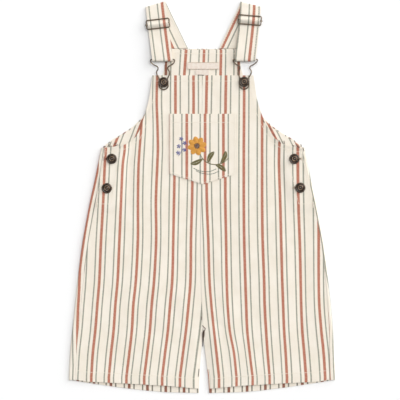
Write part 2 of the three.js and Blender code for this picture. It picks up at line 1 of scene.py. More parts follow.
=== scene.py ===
import math
from collections import namedtuple
from functools import partial
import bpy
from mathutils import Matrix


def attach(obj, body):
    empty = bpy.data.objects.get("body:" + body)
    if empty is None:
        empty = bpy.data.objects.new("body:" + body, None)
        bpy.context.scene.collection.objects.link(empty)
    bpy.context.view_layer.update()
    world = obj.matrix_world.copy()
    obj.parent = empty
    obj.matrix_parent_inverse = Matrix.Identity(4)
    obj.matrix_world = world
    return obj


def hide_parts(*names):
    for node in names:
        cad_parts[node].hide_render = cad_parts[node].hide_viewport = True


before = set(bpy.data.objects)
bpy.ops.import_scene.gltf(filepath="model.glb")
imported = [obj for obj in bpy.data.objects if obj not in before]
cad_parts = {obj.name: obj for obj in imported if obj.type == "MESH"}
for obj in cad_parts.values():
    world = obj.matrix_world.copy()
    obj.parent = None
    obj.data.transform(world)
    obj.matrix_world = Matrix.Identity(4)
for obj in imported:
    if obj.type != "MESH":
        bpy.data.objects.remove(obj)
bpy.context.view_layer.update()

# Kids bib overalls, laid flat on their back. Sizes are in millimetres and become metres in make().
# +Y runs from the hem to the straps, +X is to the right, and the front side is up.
from types import SimpleNamespace as Sizes

import bpy
from mathutils import Matrix, Vector

MM = 0.001

# Cloth and layers
CLOTH = 1.2
FACING = 1.0
LABEL = 0.8
GAP = 0.3
ROLL = 2.0  # radius of the roll at each side, over its outer face
FACING_Z = CLOTH + GAP
LABEL_Z = FACING_Z + FACING + GAP
REST = LABEL_Z + CLOTH

# Heights along the garment
NECK_Y = 208.0
BIB_Y = 170.7
ARMHOLE_Y = 69.5
OPENING_Y = -9.0
CROTCH_Y = -182.0

# Half of the garment's width at height y
SIDE = {
    "y": [70, 48, 24, -4, -32, -60, -88, -116, -144, -172, -200, -228, -256],
    "half": [142, 146.6, 151.4, 157.6, 163, 168, 172, 175.2, 178.2, 181, 183.4, 185.2, 186.4],
}

# The centre seam, and below the crotch the inner edge of each leg
INNER = {
    "y": [210, 60, -60, -130, CROTCH_Y, -204, -228, -252, -276],
    "left": [0.15, -0.15, -2.65, -1.25, 1.15, -0.3, -2.2, -3.6, -4.2],
    "right": [0.45, 0.15, -2.35, -0.95, 1.45, 3.1, 6, 9, 10.2],
}

# How far the side seam lies inside the outline
SEAM_INSET = {
    "y": [70, OPENING_Y, -60, -100, -144, -200, -256],
    "left": [4.3, 8.3, 8.3, 8.3, 8.3, 8.9, 9.5],
    "right": [4, 3, 2.8, 3.6, 4.4, 6, 8],
}

# Upper ends of the columns of the front and of the back
FRONT_TOP = {
    "x": [0, 70.3, 72, 75, 80, 84, 87.5, 92, 99, 107, 116, 126, 136.5],
    "left": [BIB_Y, BIB_Y, 154, 136, 116.5, 103, 94, 85.4, 78.8, 74.2, 72, 70.6, ARMHOLE_Y],
    "right": [BIB_Y, BIB_Y, 154, 136, 119.5, 110, 102, 93.5, 83.5, 76.5, 72.8, 70.6, ARMHOLE_Y],
}
BACK_TOP = {
    "x": [0, 50, 53.5, 62, 73.4, 84.8, 98, 112, 126, 136, 140],
    "y": [NECK_Y, NECK_Y, 181, 150, 128, 111.5, 99, 89.5, 81.5, 74, ARMHOLE_Y],
}

# Hems: y at a share of the way from the inner edge to the side
FRONT_HEM = {"share": [0, 0.25, 0.6, 0.9, 1], "y": [-267.5, -263.5, -260, -257.5, -254.5]}
BACK_HEM = {"share": [0, 0.25, 0.4, 0.6, 0.9, 1], "y": [-273.5, -272.4, -270.3, -266.1, -258.3, -255]}

# Soft folds of the front: a ridge from one point to the other, so wide and so high
Fold = namedtuple("Fold", "x0 y0 x1 y1 width height")
FOLDS = [
    Fold(34, -142, 50, -244, 9, 1.1),
    Fold(62, -176, 70, -256, 12, 0.5),
    Fold(-8, -196, -46, -110, 13, 0.6),
    Fold(-70, -200, -84, -258, 14, 0.5),
    Fold(-120, -60, -128, -190, 15, 0.5),
    Fold(112, -40, 124, -170, 15, 0.5),
]

# Finer folds and dents, which only the cloth has. A dent has a height below zero.
CREASES = [
    Fold(-101, 66, -100, -22, 4.5, -0.55),
    Fold(-113, 60, -118, -30, 5, 0.35),
    Fold(102, 62, 118, -8, 5, -0.45),
    Fold(92, 90, 96, 20, 7, 0.45),
    Fold(-84, 92, -80, 10, 7, 0.4),
    Fold(-44, -20, -66, -150, 8, 0.5),
    Fold(-22, -74, -40, -168, 6, -0.4),
    Fold(18, -60, 33, -150, 7, 0.45),
    Fold(33, -148, 54, -248, 4.5, -0.6),
    Fold(12, -150, 24, -236, 5, 0.55),
    Fold(-96, -90, -112, -220, 8, 0.45),
    Fold(-106, -196, -110, -262, 6, -0.45),
    Fold(-30, -196, -26, -262, 6, -0.4),
    Fold(-144, -120, -150, -250, 7, 0.4),
    Fold(92, -70, 96, -210, 8, 0.4),
    Fold(132, -150, 146, -256, 7, -0.45),
    Fold(150, -80, 164, -200, 6, 0.35),
    Fold(60, -16, 72, -120, 8, 0.35),
    Fold(-60, 150, -56, 60, 6, 0.3),
    Fold(62, 152, 60, 40, 6, -0.35),
    Fold(-6, -162, -36, -176, 4, -0.5),
    Fold(7, -168, 34, -184, 4, -0.5),
]
FADE = Sizes(before=0.15, after=0.25)  # a fold begins and ends softly over these shares of its length

# The front over the back: its loft, and the widths over which it rises to the button stand, falls at the
# inner edges of the legs, and loses its folds and its creases towards its edges
FRONT = Sizes(loft=0.8, rise=16, fall=10, folds=13, creases=5)
LEG_TOP = Sizes(below=14, above=4)  # how far below and above the crotch the fall begins
STAND = Sizes(width=24, margin=1)  # the button stand at the side opening

# The front's armhole edge stands off the facing: so high, over such a width
ARMHOLE_LIFT = Sizes(height=1.1, reach=5.5, from_x=76, start=10, below=12)

# The whole upper part lies a little to the right of the hems' middle. The solids do so from the chest up
# only. The cloth starts a little lower, which moves it by SHIFT or less.
SWAY = 2.0
SWAY_FROM_Y = 60
SWAY_TO_Y = 150
SHIFT = 1.2
SHIFT_FROM_Y = -230
SHIFT_TO_Y = -165

# Woven stripes: one red stripe and two thin grey ones in each repeat
REPEAT = 25.6
RED_HALF = 1.92
GREY_AT = 6.8
GREY_HALF = 0.95

# Where the red stripes run on the front, from the centre outwards, at each of these heights
STRIPE_Y = [168.7, 135, 101.5, 68, 45.5, -3.5, -59.5, -115.5, -150.5, -185.5, -217.7, -251.3]
STRIPES = {
    "left": [
        [-11.9, -11.8, -12, -12.6, -13.2, -13.9, -15.4, -16.1, -18.9, -22.4, -26.6, -30.8],
        [-37.1, -37.1, -37.1, -37.5, -38.2, -39.1, -40.2, -41.6, -44.7, -47.6, -51.7, -55.7],
        [-62.7, -63.6, -62.4, -61.6, -62.4, -64.4, -64, -66.9, -70.3, -72.8, -76.6, -80.8],
        [-84.7, -84.3, -84.6, -87.4, -88.8, -89.6, -89.6, -92.4, -96, -98, -101.6, -105.7],
        [-106.4, -106.4, -107.1, -107.8, -110.6, -113, -115.4, -117.9, -121.1, -123.5, -127.1, -130.2],
        [-133, -133, -133, -134.4, -135.8, -137.9, -141.1, -143.5, -146.3, -149.1, -152.6, -154.7],
    ],
    "right": [
        [6.7, 6, 5.6, 5.9, 6.2, 6.7, 8.8, 10.5, 13.2, 16.8, 20.3, 23.8],
        [33.6, 33, 32.8, 32.6, 32.6, 32.6, 33.6, 34.4, 35.7, 38.6, 44.8, 48.3],
        [58.9, 58.9, 58.7, 58.4, 58.4, 58.4, 58.9, 60.5, 61.7, 63.1, 66.5, 70.7],
        [84, 84, 84, 84, 84, 84, 84.7, 86.8, 87.5, 89.5, 91.7, 94.5],
        [109.2, 109.2, 109.2, 107.8, 107.5, 109.2, 110.6, 112, 113.4, 114.7, 116.9, 118.6],
        [133.7, 133.7, 133.7, 133.7, 133.7, 134.4, 136.5, 137.9, 138.6, 140.1, 142.8, 145.5],
        [163.1, 163.1, 163.1, 163.1, 163.1, 163.1, 163.1, 163.1, 163.9, 166.7, 170.1, 172.2],
    ],
}

# Where the weave's repeat stands at the fold of the side, counted towards the front
FOLD_STRIPE = {
    "y": [70, 52, 38, 14, -18, -74, -102, -130, -158, -181, -206, -235, -256],
    "left": [2.4, 1.4, -1.1, -1.4, -0.9, -1.5, -1.6, -3.8, -5, -6.6, -9.6, -12.2, -12.4],
    "right": [19.6, 19.6, 19.4, 16.6, 16.4, 16.8, 17, 19.3, 19.4, 19.2, 17.6, 17.3, 17.3],
}

# How far the repeat is moved on the flat of the back, fully so at this distance from the fold
BACK_SHIFT = {"y": [170, -240], "left": [2.8, -5.5], "right": [-11.2, 3.6]}
BACK_SHIFT_FROM = 60
# Above the armholes' lower ends the back's stripes turn upright little by little
BACK_LEAN = Sizes(slope=0.2, over=40)

# Next to the centre seam and the leg seam: the cloth runs on evenly so far from the first red stripe,
# and on the right leg the seam takes up some of it, so that the next red stripe shows at its edge
SEAM_EVEN = {"left": 19, "right": 11.4}
SEAM_RED = Sizes(from_y=-239, y=[-239, -266], off=[15, 13.7], half=0.9)


def clamp(value, low, high):
    return max(low, min(high, value))


def lerp(a, b, t):
    return a + (b - a) * t


def smoothstep(value, low, high):
    t = clamp((value - low) / (high - low), 0, 1)
    return t * t * (3 - 2 * t)


def row_before(keys, values, at):
    """A table's rows with rising keys, the place kept within them, and the number of the row before it."""
    rows = list(zip(keys, values))
    if rows[0][0] > rows[-1][0]:
        rows.reverse()
    at = clamp(at, rows[0][0], rows[-1][0])
    return rows, at, next(i for i in range(len(rows) - 1) if rows[i + 1][0] >= at)


def along(keys, values, at):
    """A table's value at a place, by straight lines between its rows."""
    rows, at, i = row_before(keys, values, at)
    (k0, v0), (k1, v1) = rows[i], rows[i + 1]
    return lerp(v0, v1, (at - k0) / (k1 - k0))


def smooth_along(keys, values, at):
    """The same by a smooth curve through the rows."""
    rows, at, i = row_before(keys, values, at)

    def slope(k):
        a, b = rows[max(0, k - 1)], rows[min(len(rows) - 1, k + 1)]
        return (b[1] - a[1]) / (b[0] - a[0])

    (k0, v0), (k1, v1) = rows[i], rows[i + 1]
    span = k1 - k0
    t = (at - k0) / span
    bulge = t * (1 - t) ** 2 * span * slope(i) + t * t * (t - 1) * span * slope(i + 1)
    return lerp(v0, v1, t * t * (3 - 2 * t)) + bulge


def hand(side):
    return "left" if side < 0 else "right"


def of_hand(table, side, y):
    """The value of a table's left or right column at a height."""
    return along(table["y"], table[hand(side)], y)


def half_width(y):
    return smooth_along(SIDE["y"], SIDE["half"], y)


def inner_edge(side, y):
    return of_hand(INNER, side, y)


def sway(y):
    low = SHIFT * smoothstep(y, SHIFT_FROM_Y, SHIFT_TO_Y)
    return low + (SWAY - SHIFT) * smoothstep(y, SWAY_FROM_Y, SWAY_TO_Y)


def seam_x(side, y, inside=0):
    """Where the side seam lies, or a line so far inside it."""
    return side * (half_width(y) - of_hand(SEAM_INSET, side, y) - inside) + sway(y)


def fold_x(side, y):
    """Where the flat of the back ends and its roll begins."""
    return side * (half_width(y) - ROLL) + sway(y)


BACK_REACH = half_width(ARMHOLE_Y) - ROLL


def ridge(fold, x, y):
    """Height of a soft ridge at a point. It fades out over a share of its length at each end."""
    dx, dy = fold.x1 - fold.x0, fold.y1 - fold.y0
    length = math.hypot(dx, dy)
    t = ((x - fold.x0) * dx + (y - fold.y0) * dy) / length**2
    off = ((x - fold.x0) * dy - (y - fold.y0) * dx) / length
    begun, ended = smoothstep(t, -FADE.before, FADE.after), smoothstep(t, 1 - FADE.after, 1 + FADE.before)
    return fold.height * begun * (1 - ended) * math.exp(-((off / fold.width) ** 2))


def armhole_lift(side, x, y):
    """How far the front's edge at the armhole stands off what it lies on, uneven along it."""
    inner = inner_edge(side, y)
    at = (x - inner) / (seam_x(side, y) - inner) * FRONT_TOP["x"][-1]
    start = ARMHOLE_LIFT.from_x
    if at < start:
        return 0
    top = partial(along, FRONT_TOP["x"], FRONT_TOP[hand(side)])
    slope = (top(at + 2) - top(at - 2)) / 4
    off = (top(at) - y) / math.hypot(1, slope)
    uneven = 0.75 + 0.5 * math.sin(at * 0.31 + side) * math.sin(at * 0.13)
    begun = smoothstep(at, start, start + ARMHOLE_LIFT.start)
    return ARMHOLE_LIFT.height * uneven * begun * (1 - smoothstep(off, 0, ARMHOLE_LIFT.reach))


def front_top(side, x, y):
    """Top of the front panels: the solids' form with the finer folds of the cloth."""
    edge = half_width(y) - of_hand(SEAM_INSET, side, y)
    from_edge = edge - side * (x - sway(y))
    from_inner = side * (x - inner_edge(side, y))

    def inside(run):
        return smoothstep(from_inner, 0, run) * smoothstep(from_edge, 0, run)

    across = clamp(from_inner / edge, 0, 1)
    down = clamp((BIB_Y - y) / (BIB_Y - FRONT_HEM["y"][0]), 0, 1)
    loft = FRONT.loft * math.sin(math.pi * across) ** 2 * math.sin(math.pi * down) ** 2
    near_stand = 1 - smoothstep(from_edge, STAND.width + GAP, STAND.width + FRONT.rise)
    lift = (GAP + CLOTH) * near_stand * smoothstep(y, OPENING_Y - FRONT.rise, OPENING_Y - CLOTH)
    in_leg = 1 - smoothstep(y, CROTCH_Y - LEG_TOP.below, CROTCH_Y + LEG_TOP.above)
    drop = (REST - 2 * CLOTH - GAP) * (1 - smoothstep(from_inner, 0, FRONT.fall)) * in_leg
    folds = sum(ridge(fold, x, y) for fold in FOLDS) * inside(FRONT.folds)
    creases = sum(ridge(fold, x, y) for fold in CREASES) * inside(FRONT.creases)
    raised = armhole_lift(side, x, y) if y > ARMHOLE_Y - ARMHOLE_LIFT.below else 0
    return REST + loft + lift - drop + folds + creases + raised


def on_front(x, y):
    return front_top(1 if x > 0 else -1, x, y)


def on_pocket(x, y):
    return on_front(x, y) + GAP + CLOTH


def seam_u(side, y, off):
    """Place in the repeat so far inside the first red stripe, counted from it."""
    even = SEAM_EVEN[hand(side)]
    if off < even:
        return off
    if side < 0:
        return even + (off - even) / 2
    if y > SEAM_RED.from_y:
        return off
    red = along(SEAM_RED.y, SEAM_RED.off, y)
    near = red - SEAM_RED.half
    if off < near:
        return lerp(even, REPEAT - SEAM_RED.half, (off - even) / (near - even))
    return REPEAT + off - red


def between_stripes(places, at):
    """Place in the weave, counted from the first of these red stripes, with the cloth even between them."""
    i = 0
    while i < len(places) - 2 and places[i + 1] < at:
        i += 1
    return (i + (at - places[i]) / (places[i + 1] - places[i])) * REPEAT


def stripe_u(side, x, y):
    """Place in the weave at a point of the front, in millimetres from the first red stripe."""
    places = [side * smooth_along(STRIPE_Y, row, y) for row in STRIPES[hand(side)]]
    at = side * x
    if at < places[0]:
        return -seam_u(side, y, places[0] - at)
    if at > places[-1]:
        return (len(places) - 1) * REPEAT + at - places[-1]
    return between_stripes(places, at)


# Objects and meshes


def add_object(name, data):
    obj = bpy.data.objects.new(name, data)
    bpy.context.scene.collection.objects.link(obj)
    return obj


def signed_volume(points, faces):
    total = 0
    for face in faces:
        a = Vector(points[face[0]])
        for k in range(1, len(face) - 1):
            total += a.dot(Vector(points[face[k]]).cross(Vector(points[face[k + 1]])))
    return total


def make(name, points, faces, material, node=None, uvs=None):
    """A mesh object from points in millimetres, which rides on the part's one body."""
    if signed_volume(points, faces) < 0:
        faces = [face[::-1] for face in faces]
    mesh = bpy.data.meshes.new(name)
    mesh.from_pydata([[c * MM for c in p] for p in points], [], faces)
    mesh.validate()
    if uvs:
        layer = mesh.uv_layers.new(name="pattern")
        for loop in mesh.loops:
            u, v = uvs[loop.vertex_index]
            layer.data[loop.index].uv = (u * MM, v * MM)
    mesh.materials.append(material)
    for polygon in mesh.polygons:
        polygon.use_smooth = True
    obj = add_object(name, mesh)
    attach(obj, "root")
    if node:
        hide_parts(node)
    return obj


# Materials


class Nodes:
    """Short calls for building a material's node tree."""

    def __init__(self, name):
        self.material = bpy.data.materials.new(name)
        self.material.use_nodes = True
        self.tree = self.material.node_tree

    def link(self, value, socket):
        if isinstance(value, bpy.types.NodeSocket):
            self.tree.links.new(value, socket)
        else:
            socket.default_value = value

    def node(self, kind, values):
        """A node of a kind, with its first inputs set to these values."""
        node = self.tree.nodes.new("ShaderNode" + kind)
        for value, socket in zip(values, node.inputs):
            self.link(value, socket)
        return node

    def named(self, node, inputs):
        for name, value in inputs.items():
            self.link(value, node.inputs[name])
        return node

    def math(self, operation, *values):
        node = self.node("Math", values)
        node.operation = operation
        return node.outputs[0]

    def apart(self, a, b):
        return self.math("ABSOLUTE", self.math("SUBTRACT", a, b))

    def ribs(self, value, pitch):
        return self.math("SINE", self.math("MULTIPLY", value, 2 * math.pi / (pitch * MM)))

    def ramp(self, value, low, high, to_low=0.0, to_high=1.0):
        node = self.node("MapRange", (value, low, high, to_low, to_high))
        node.interpolation_type = "SMOOTHSTEP"
        return node.outputs[0]

    def noise(self, vector, scale, detail=2.0, roughness=0.5):
        inputs = {"Vector": vector, "Scale": scale, "Detail": detail, "Roughness": roughness}
        return self.named(self.node("TexNoise", ()), inputs).outputs["Fac"]

    def mix(self, factor, a, b):
        node = self.node("Mix", ())
        node.data_type = "RGBA"
        return self.named(node, {"Factor": factor, "A": a, "B": b}).outputs["Result"]

    def tones(self, value, low, high, tone, other):
        """One tone where the value is low and another where it is high."""
        return self.mix(self.ramp(value, low, high), colour(tone), colour(other))

    def vector(self, x, y):
        return self.node("CombineXYZ", (x, y, 0.0)).outputs[0]

    def pattern(self):
        """The two coordinates of the layer that make() writes."""
        node = self.node("UVMap", ())
        node.uv_map = "pattern"
        return self.node("SeparateXYZ", (node.outputs[0],)).outputs[:2]

    def place(self):
        return self.node("TexCoord", ()).outputs["Object"]

    def bump(self, height, strength, distance):
        inputs = {"Height": height, "Strength": strength, "Distance": distance}
        return self.named(self.node("Bump", ()), inputs).outputs[0]

    def surface(self, inputs):
        self.named(self.tree.nodes["Principled BSDF"], inputs)
        return self.material


def colour(code):
    """A colour written as in a drawing program, as Blender wants it."""
    channels = [int(code[i : i + 2], 16) / 255 for i in (1, 3, 5)]
    linear = [c / 12.92 if c <= 0.04045 else ((c + 0.055) / 1.055) ** 2.4 for c in channels]
    return (*linear, 1.0)


SHADE_ON_INNER_FACE = 2000  # added to a place along the stripes on the cloth's inner face, where the stripes are painted darker as shade


def canvas_material():
    """Cotton canvas with woven stripes: plain weave, uneven yarn, soft edges between the colours, and painted
    shade on the stripes of the inner face.
    """
    n = Nodes("striped_canvas")
    u, v = n.pattern()

    def streaks(across, lengthwise, detail):
        stretched = n.vector(n.math("MULTIPLY", u, across), n.math("MULTIPLY", v, lengthwise))
        return n.noise(stretched, 1.0, detail)

    yarn = streaks(300.0, 900.0, 2.0)
    slub = streaks(900.0, 60.0, 3.0)
    wobble = n.math("MULTIPLY", n.math("SUBTRACT", yarn, 0.5), 0.0006)
    turns = n.math("ADD", n.math("DIVIDE", n.math("ADD", u, wobble), REPEAT * MM), 0.5)
    off = n.math("MULTIPLY", n.apart(n.math("FRACT", turns), 0.5), REPEAT * MM)
    red = n.ramp(off, (RED_HALF + 0.3) * MM, (RED_HALF - 0.3) * MM)
    grey = n.ramp(n.apart(off, GREY_AT * MM), (GREY_HALF + 0.25) * MM, (GREY_HALF - 0.25) * MM)
    base = n.tones(n.noise(n.vector(u, v), 40.0), 0.3, 0.7, "#f6eee1", "#f1e8d9")
    # Painted shade: on the cloth's inner face the red and grey stripes are mixed halfway to dark brown.
    inside = n.ramp(v, (SHADE_ON_INNER_FACE / 2 - 1) * MM, (SHADE_ON_INNER_FACE / 2 + 1) * MM, 0.0, 0.5)
    dark = colour("#3a2a22")
    tone = n.mix(red, base, n.mix(inside, n.tones(yarn, 0.35, 0.65, "#b06853", "#c2826c"), dark))
    tone = n.mix(grey, tone, n.mix(inside, n.tones(yarn, 0.35, 0.65, "#8f9084", "#a5a598"), dark))
    weave = n.math("MULTIPLY", n.ribs(u, 0.62), n.ribs(v, 0.56))
    height = n.math("ADD", n.math("MULTIPLY", weave, 0.35), slub)
    return n.surface({
        "Base Color": n.mix(n.ramp(slub, 0.2, 0.8, 0.0, 0.10), tone, colour("#d8ccb6")),
        "Normal": n.bump(height, 0.35, 0.0003),
        "Roughness": 0.88,
        "Sheen Weight": 0.12,
        "Sheen Roughness": 0.5,
        "Specular IOR Level": 0.25,
    })


def tape_material():
    """Smooth woven label tape: fine ribs across it."""
    n = Nodes("label_tape")
    u, v = n.pattern()
    return n.surface({
        "Base Color": n.tones(n.noise(n.vector(u, v), 300.0), 0.3, 0.7, "#efe4d8", "#e8d9cb"),
        "Normal": n.bump(n.ribs(v, 0.4), 0.3, 0.0001),
        "Roughness": 0.6,
    })


def metal(n, base, roughness, coat, coat_roughness):
    """Antiqued metal with a clear coat, a little uneven."""
    return n.surface({
        "Base Color": base,
        "Roughness": roughness,
        "Normal": n.bump(n.noise(n.place(), 2600.0), 0.04, 0.0001),
        "Metallic": 0.85,
        "Coat Weight": coat,
        "Coat Roughness": coat_roughness,
    })


def wire_material():
    """Antiqued wire: dark, rubbed lighter in patches."""
    n = Nodes("antique_wire")
    wear = n.noise(n.place(), 420.0, 4.0, 0.6)
    base = n.tones(wear, 0.42, 0.85, "#5a4c3e", "#a08a6c")
    return metal(n, base, n.ramp(wear, 0.3, 0.8, 0.44, 0.31), 0.6, 0.12)


# Where a button head is lighter: its rim and ring rubbed, partly as painted highlight, and its middle as a
# painted highlight. The radius of the ring, half of its width and how much it is lightened
RUBBED_AND_HIGHLIGHT = [(0.0, 1.1, 1.0), (3.2, 0.9, 0.75), (6.3, 0.6, 0.5)]


def button_material():
    """Antiqued brass head: dark in its groove, rubbed lighter on its rim and its ring, partly as painted
    highlight, and a painted highlight in its middle.
    """
    n = Nodes("antique_button")
    wear = n.noise(n.place(), 700.0, 3.0, 0.6)
    off, _ = n.pattern()
    raised = 0.0
    for radius, half, much in RUBBED_AND_HIGHLIGHT:
        ring = n.ramp(n.apart(off, radius * MM), half * MM, 0.2 * half * MM, 0.0, much)
        raised = n.math("MAXIMUM", raised, ring)
    # Painted highlight in part: rim and ring are rubbed wear and highlight, the middle spot is highlight.
    rubbed = n.math("MULTIPLY", raised, n.ramp(wear, 0.3, 0.65, 0.35, 1.0))
    base = n.mix(rubbed, colour("#251b14"), colour("#86694b"))
    return metal(n, base, n.ramp(wear, 0.3, 0.8, 0.42, 0.3), 0.7, 0.1)


def thread_material(name, tone, shade):
    """Spun thread: a little gloss along it, uneven in tone."""
    n = Nodes(name)
    twist = n.noise(n.place(), 1800.0)
    return n.surface({
        "Base Color": n.tones(twist, 0.35, 0.65, tone, shade),
        "Normal": n.bump(twist, 0.3, 0.0002),
        "Roughness": 0.55,
        "Sheen Weight": 0.15,
    })


CANVAS = canvas_material()
THREAD_CREAM = thread_material("thread_cream", "#f7eee1", "#eadfcd")
THREAD_BROWN = thread_material("thread_brown_hole", "#c9b8a0", "#a8937c")
THREAD_RED = thread_material("thread_red_hole", "#a8654f", "#8a4c3b")
# Dark thread laid as painted shade in buttonhole slits, at open edges and in the gap between the legs.
SHADE_THREAD = thread_material("painted_shade_thread", "#5c4638", "#3c2d24")
TAPE = tape_material()
WIRE_METAL = wire_material()
BUTTON_METAL = button_material()


# The camera

CAMERA_HEIGHT = 2400
VIEW_WIDTH = 560
SENSOR = 36.0
VIEW_CENTRE = (-2.8, -3.5)

camera_data = bpy.data.cameras.new("camera")
camera_data.sensor_width = SENSOR
camera_data.lens = SENSOR * CAMERA_HEIGHT / VIEW_WIDTH
camera = add_object("camera", camera_data)
camera.location = (VIEW_CENTRE[0] * MM, VIEW_CENTRE[1] * MM, CAMERA_HEIGHT * MM)
bpy.context.scene.camera = camera
bpy.context.scene.view_settings.view_transform = "Standard"


# Sheets of cloth: how many steps each has along and across, and the share at which the first line lies

FRONT_ROWS, FRONT_COLS = (200, 0.0015), (84, 0.004)
BACK_ROWS, BACK_COLS = (150, 0.0015), (60, 0.004)
STRIP_ROWS, STRIP_COLS = (48, 0.004), (16, 0.02)
POCKET_ROWS, POCKET_COLS = (70, 0.006), (72, 0.006)
STRAP_COLS = (14, 0.02)
STRAP_STEP = 3.0  # a strap's lines across lie no further apart than this
ROLL_STEPS = 10
RETURN_STEPS = 6


def eased(count, first):
    """Shares from 0 to 1 in even steps, with two more lines close to each end."""
    inside = [i / count for i in range(1, count)]
    return [0, first / 3, first] + inside + [1 - first, 1 - first / 3, 1]


def grid_faces(rows, cols, offset=0, flip=False):
    faces = []
    for i in range(rows - 1):
        for j in range(cols - 1):
            a = offset + i * cols + j
            quad = (a, a + cols, a + cols + 1, a + 1)
            faces.append(quad[::-1] if flip else quad)
    return faces


def cloth(node, stations, shares, place, kind="cloth", material=CANVAS, slot="canvas"):
    """A closed thin shell in a node's place. place(station, share) gives a point on its outer face, the one
    under it on its inner face, and where they lie in the weave, once for both or once for each."""
    cells = [place(station, share) for station in stations for share in shares]
    points = [cell[0] for cell in cells] + [cell[1] for cell in cells]
    uvs = [cell[2] for cell in cells] + [cell[-1] for cell in cells]
    rows, cols, size = len(stations), len(shares), len(cells)
    faces = grid_faces(rows, cols) + grid_faces(rows, cols, size, True)
    rim = list(range(cols))
    rim += [i * cols + cols - 1 for i in range(1, rows)]
    rim += [(rows - 1) * cols + j for j in range(cols - 2, -1, -1)]
    rim += [i * cols for i in range(rows - 2, 0, -1)]
    faces += [(a, b, b + size, a + size) for a, b in zip(rim, rim[1:] + rim[:1])]
    return make(f"{node}_{kind}", points, faces, material, node, uvs)


def front_point(side, share, down):
    """A point in plan of the front, so far from its centre to its side and from its top to its hem."""
    top = along(FRONT_TOP["x"], FRONT_TOP[hand(side)], share * FRONT_TOP["x"][-1])
    y = lerp(top, along(FRONT_HEM["share"], FRONT_HEM["y"], share), down)
    return lerp(inner_edge(side, y), seam_x(side, y), share), y


def front_panel(side):
    def place(down, share):
        x, y = front_point(side, share, down)
        z = front_top(side, x, y)
        return (x, y, z), (x, y, z - CLOTH), (stripe_u(side, x, y), y)

    return cloth(f"front_{hand(side)}", eased(*FRONT_ROWS), eased(*FRONT_COLS), place)


def back_panel(side):
    """Columns from the top to the hem: over the flat, round the roll at the side, then back to its seam.
    Each form gives x and z of the outer and the inner face, and the place in the weave from the fold."""

    def flat(y, share):
        x = lerp(inner_edge(side, y), fold_x(side, y), share)
        above = max(0, y - ARMHOLE_Y) / BACK_LEAN.over
        leant = BACK_LEAN.slope * BACK_LEAN.over * (1 - math.exp(-above))
        from_fold = half_width(y) - leant - side * (x - sway(y))
        shift = of_hand(BACK_SHIFT, side, y) * smoothstep(from_fold, 0, BACK_SHIFT_FROM)
        return (x, 0), (x, CLOTH), shift - from_fold

    def rolled(y, angle):
        turned = [
            (fold_x(side, y) + side * radius * math.cos(angle), ROLL + radius * math.sin(angle))
            for radius in (ROLL, ROLL - CLOTH)
        ]
        return *turned, ROLL * (1 - math.cos(angle)) * (1 if angle > 0 else -1)

    def returned(y, share):
        way = of_hand(SEAM_INSET, side, y) - GAP - ROLL
        x = fold_x(side, y) - side * way * share
        return (x, 2 * ROLL), (x, 2 * ROLL - CLOTH), ROLL + way * share

    columns = []
    for share in eased(*BACK_COLS):
        columns.append((flat, share, share, along(BACK_TOP["x"], BACK_TOP["y"], share * BACK_REACH)))
    for step in range(1, ROLL_STEPS + 1):
        columns.append((rolled, math.pi * (step / ROLL_STEPS - 0.5), 1, ARMHOLE_Y))
    for step in range(1, RETURN_STEPS + 1):
        columns.append((returned, step / RETURN_STEPS, 1, ARMHOLE_Y))

    def place(column, down):
        form, at, share, top = column
        y = lerp(top, along(BACK_HEM["share"], BACK_HEM["y"], share), down)
        (x, z), (inner_x, inner_z), off = form(y, at)
        u = of_hand(FOLD_STRIPE, side, y) + off
        return (x, y, z), (inner_x, y, inner_z), (u, y), (u, y + SHADE_ON_INNER_FACE)

    return cloth(f"back_{hand(side)}", columns, eased(*BACK_ROWS), place)


def strip(node, plan, bottom, thickness, stripe, **looks):
    """A flat strip: plan(s, t) gives a point in plan for s along it and t across it."""

    def place(s, t):
        x, y = plan(s, t)
        return (x, y, bottom + thickness), (x, y, bottom), (stripe(x, y), y)

    return cloth(node, eased(*STRIP_ROWS), eased(*STRIP_COLS), place, **looks)


ARM_FACING = Sizes(width=17, from_x=70, margin=1)
# How the stripes run on the armhole facings: their lean, and where a red one lies at a height
FACING_LAY = {
    "left": Sizes(lean=0.38, y=88, red=-91, spacing=25.6),
    "right": Sizes(lean=-0.5, y=88, red=126, spacing=25.8),
}


def armhole_facing(side):
    lay = FACING_LAY[hand(side)]
    margin = ARM_FACING.margin
    edge = []
    for x, y in zip(BACK_TOP["x"], BACK_TOP["y"]):
        if x > ARM_FACING.from_x:
            outer = lerp(inner_edge(side, y), fold_x(side, y), x / BACK_REACH)
            edge.append((outer - side * margin, y - margin))
    lower = []
    for i, (x, y) in enumerate(edge):
        (ax, ay), (bx, by) = edge[max(0, i - 1)], edge[min(len(edge) - 1, i + 1)]
        turn = side * ARM_FACING.width / math.hypot(bx - ax, by - ay)
        lower.append((x + (by - ay) * turn, y - (bx - ax) * turn))

    def plan(s, t):
        at = s * (len(edge) - 1)
        i = min(int(at), len(edge) - 2)
        ends = [[lerp(a, b, at - i) for a, b in zip(row[i], row[i + 1])] for row in (edge, lower)]
        return [lerp(a, b, t) for a, b in zip(*ends)]

    def stripe(x, y):
        return (x - lay.lean * (y - lay.y) - lay.red) * REPEAT / lay.spacing

    return strip(f"armhole_facing_{hand(side)}", plan, FACING_Z, FACING, stripe)


def side_placket(side):
    def plan(s, t):
        y = lerp(ARMHOLE_Y - STAND.margin, OPENING_Y, s)
        return seam_x(side, y, t * STAND.width), y

    return strip(f"side_placket_{hand(side)}", plan, 2 * ROLL - CLOTH, CLOTH, partial(stripe_u, side))


NECK_FACING = Sizes(x=1.6, half=47.5, top=NECK_Y - 1, bottom=156)
# Where the red stripes run on it, from left to right, at each of these heights
NECK_STRIPE_Y = [206.5, 171.5]
NECK_STRIPES = [[-50.8, -50.8], [-22, -24.8], [3.1, 1.7], [26.6, 25.9], [51.4, 51.4]]


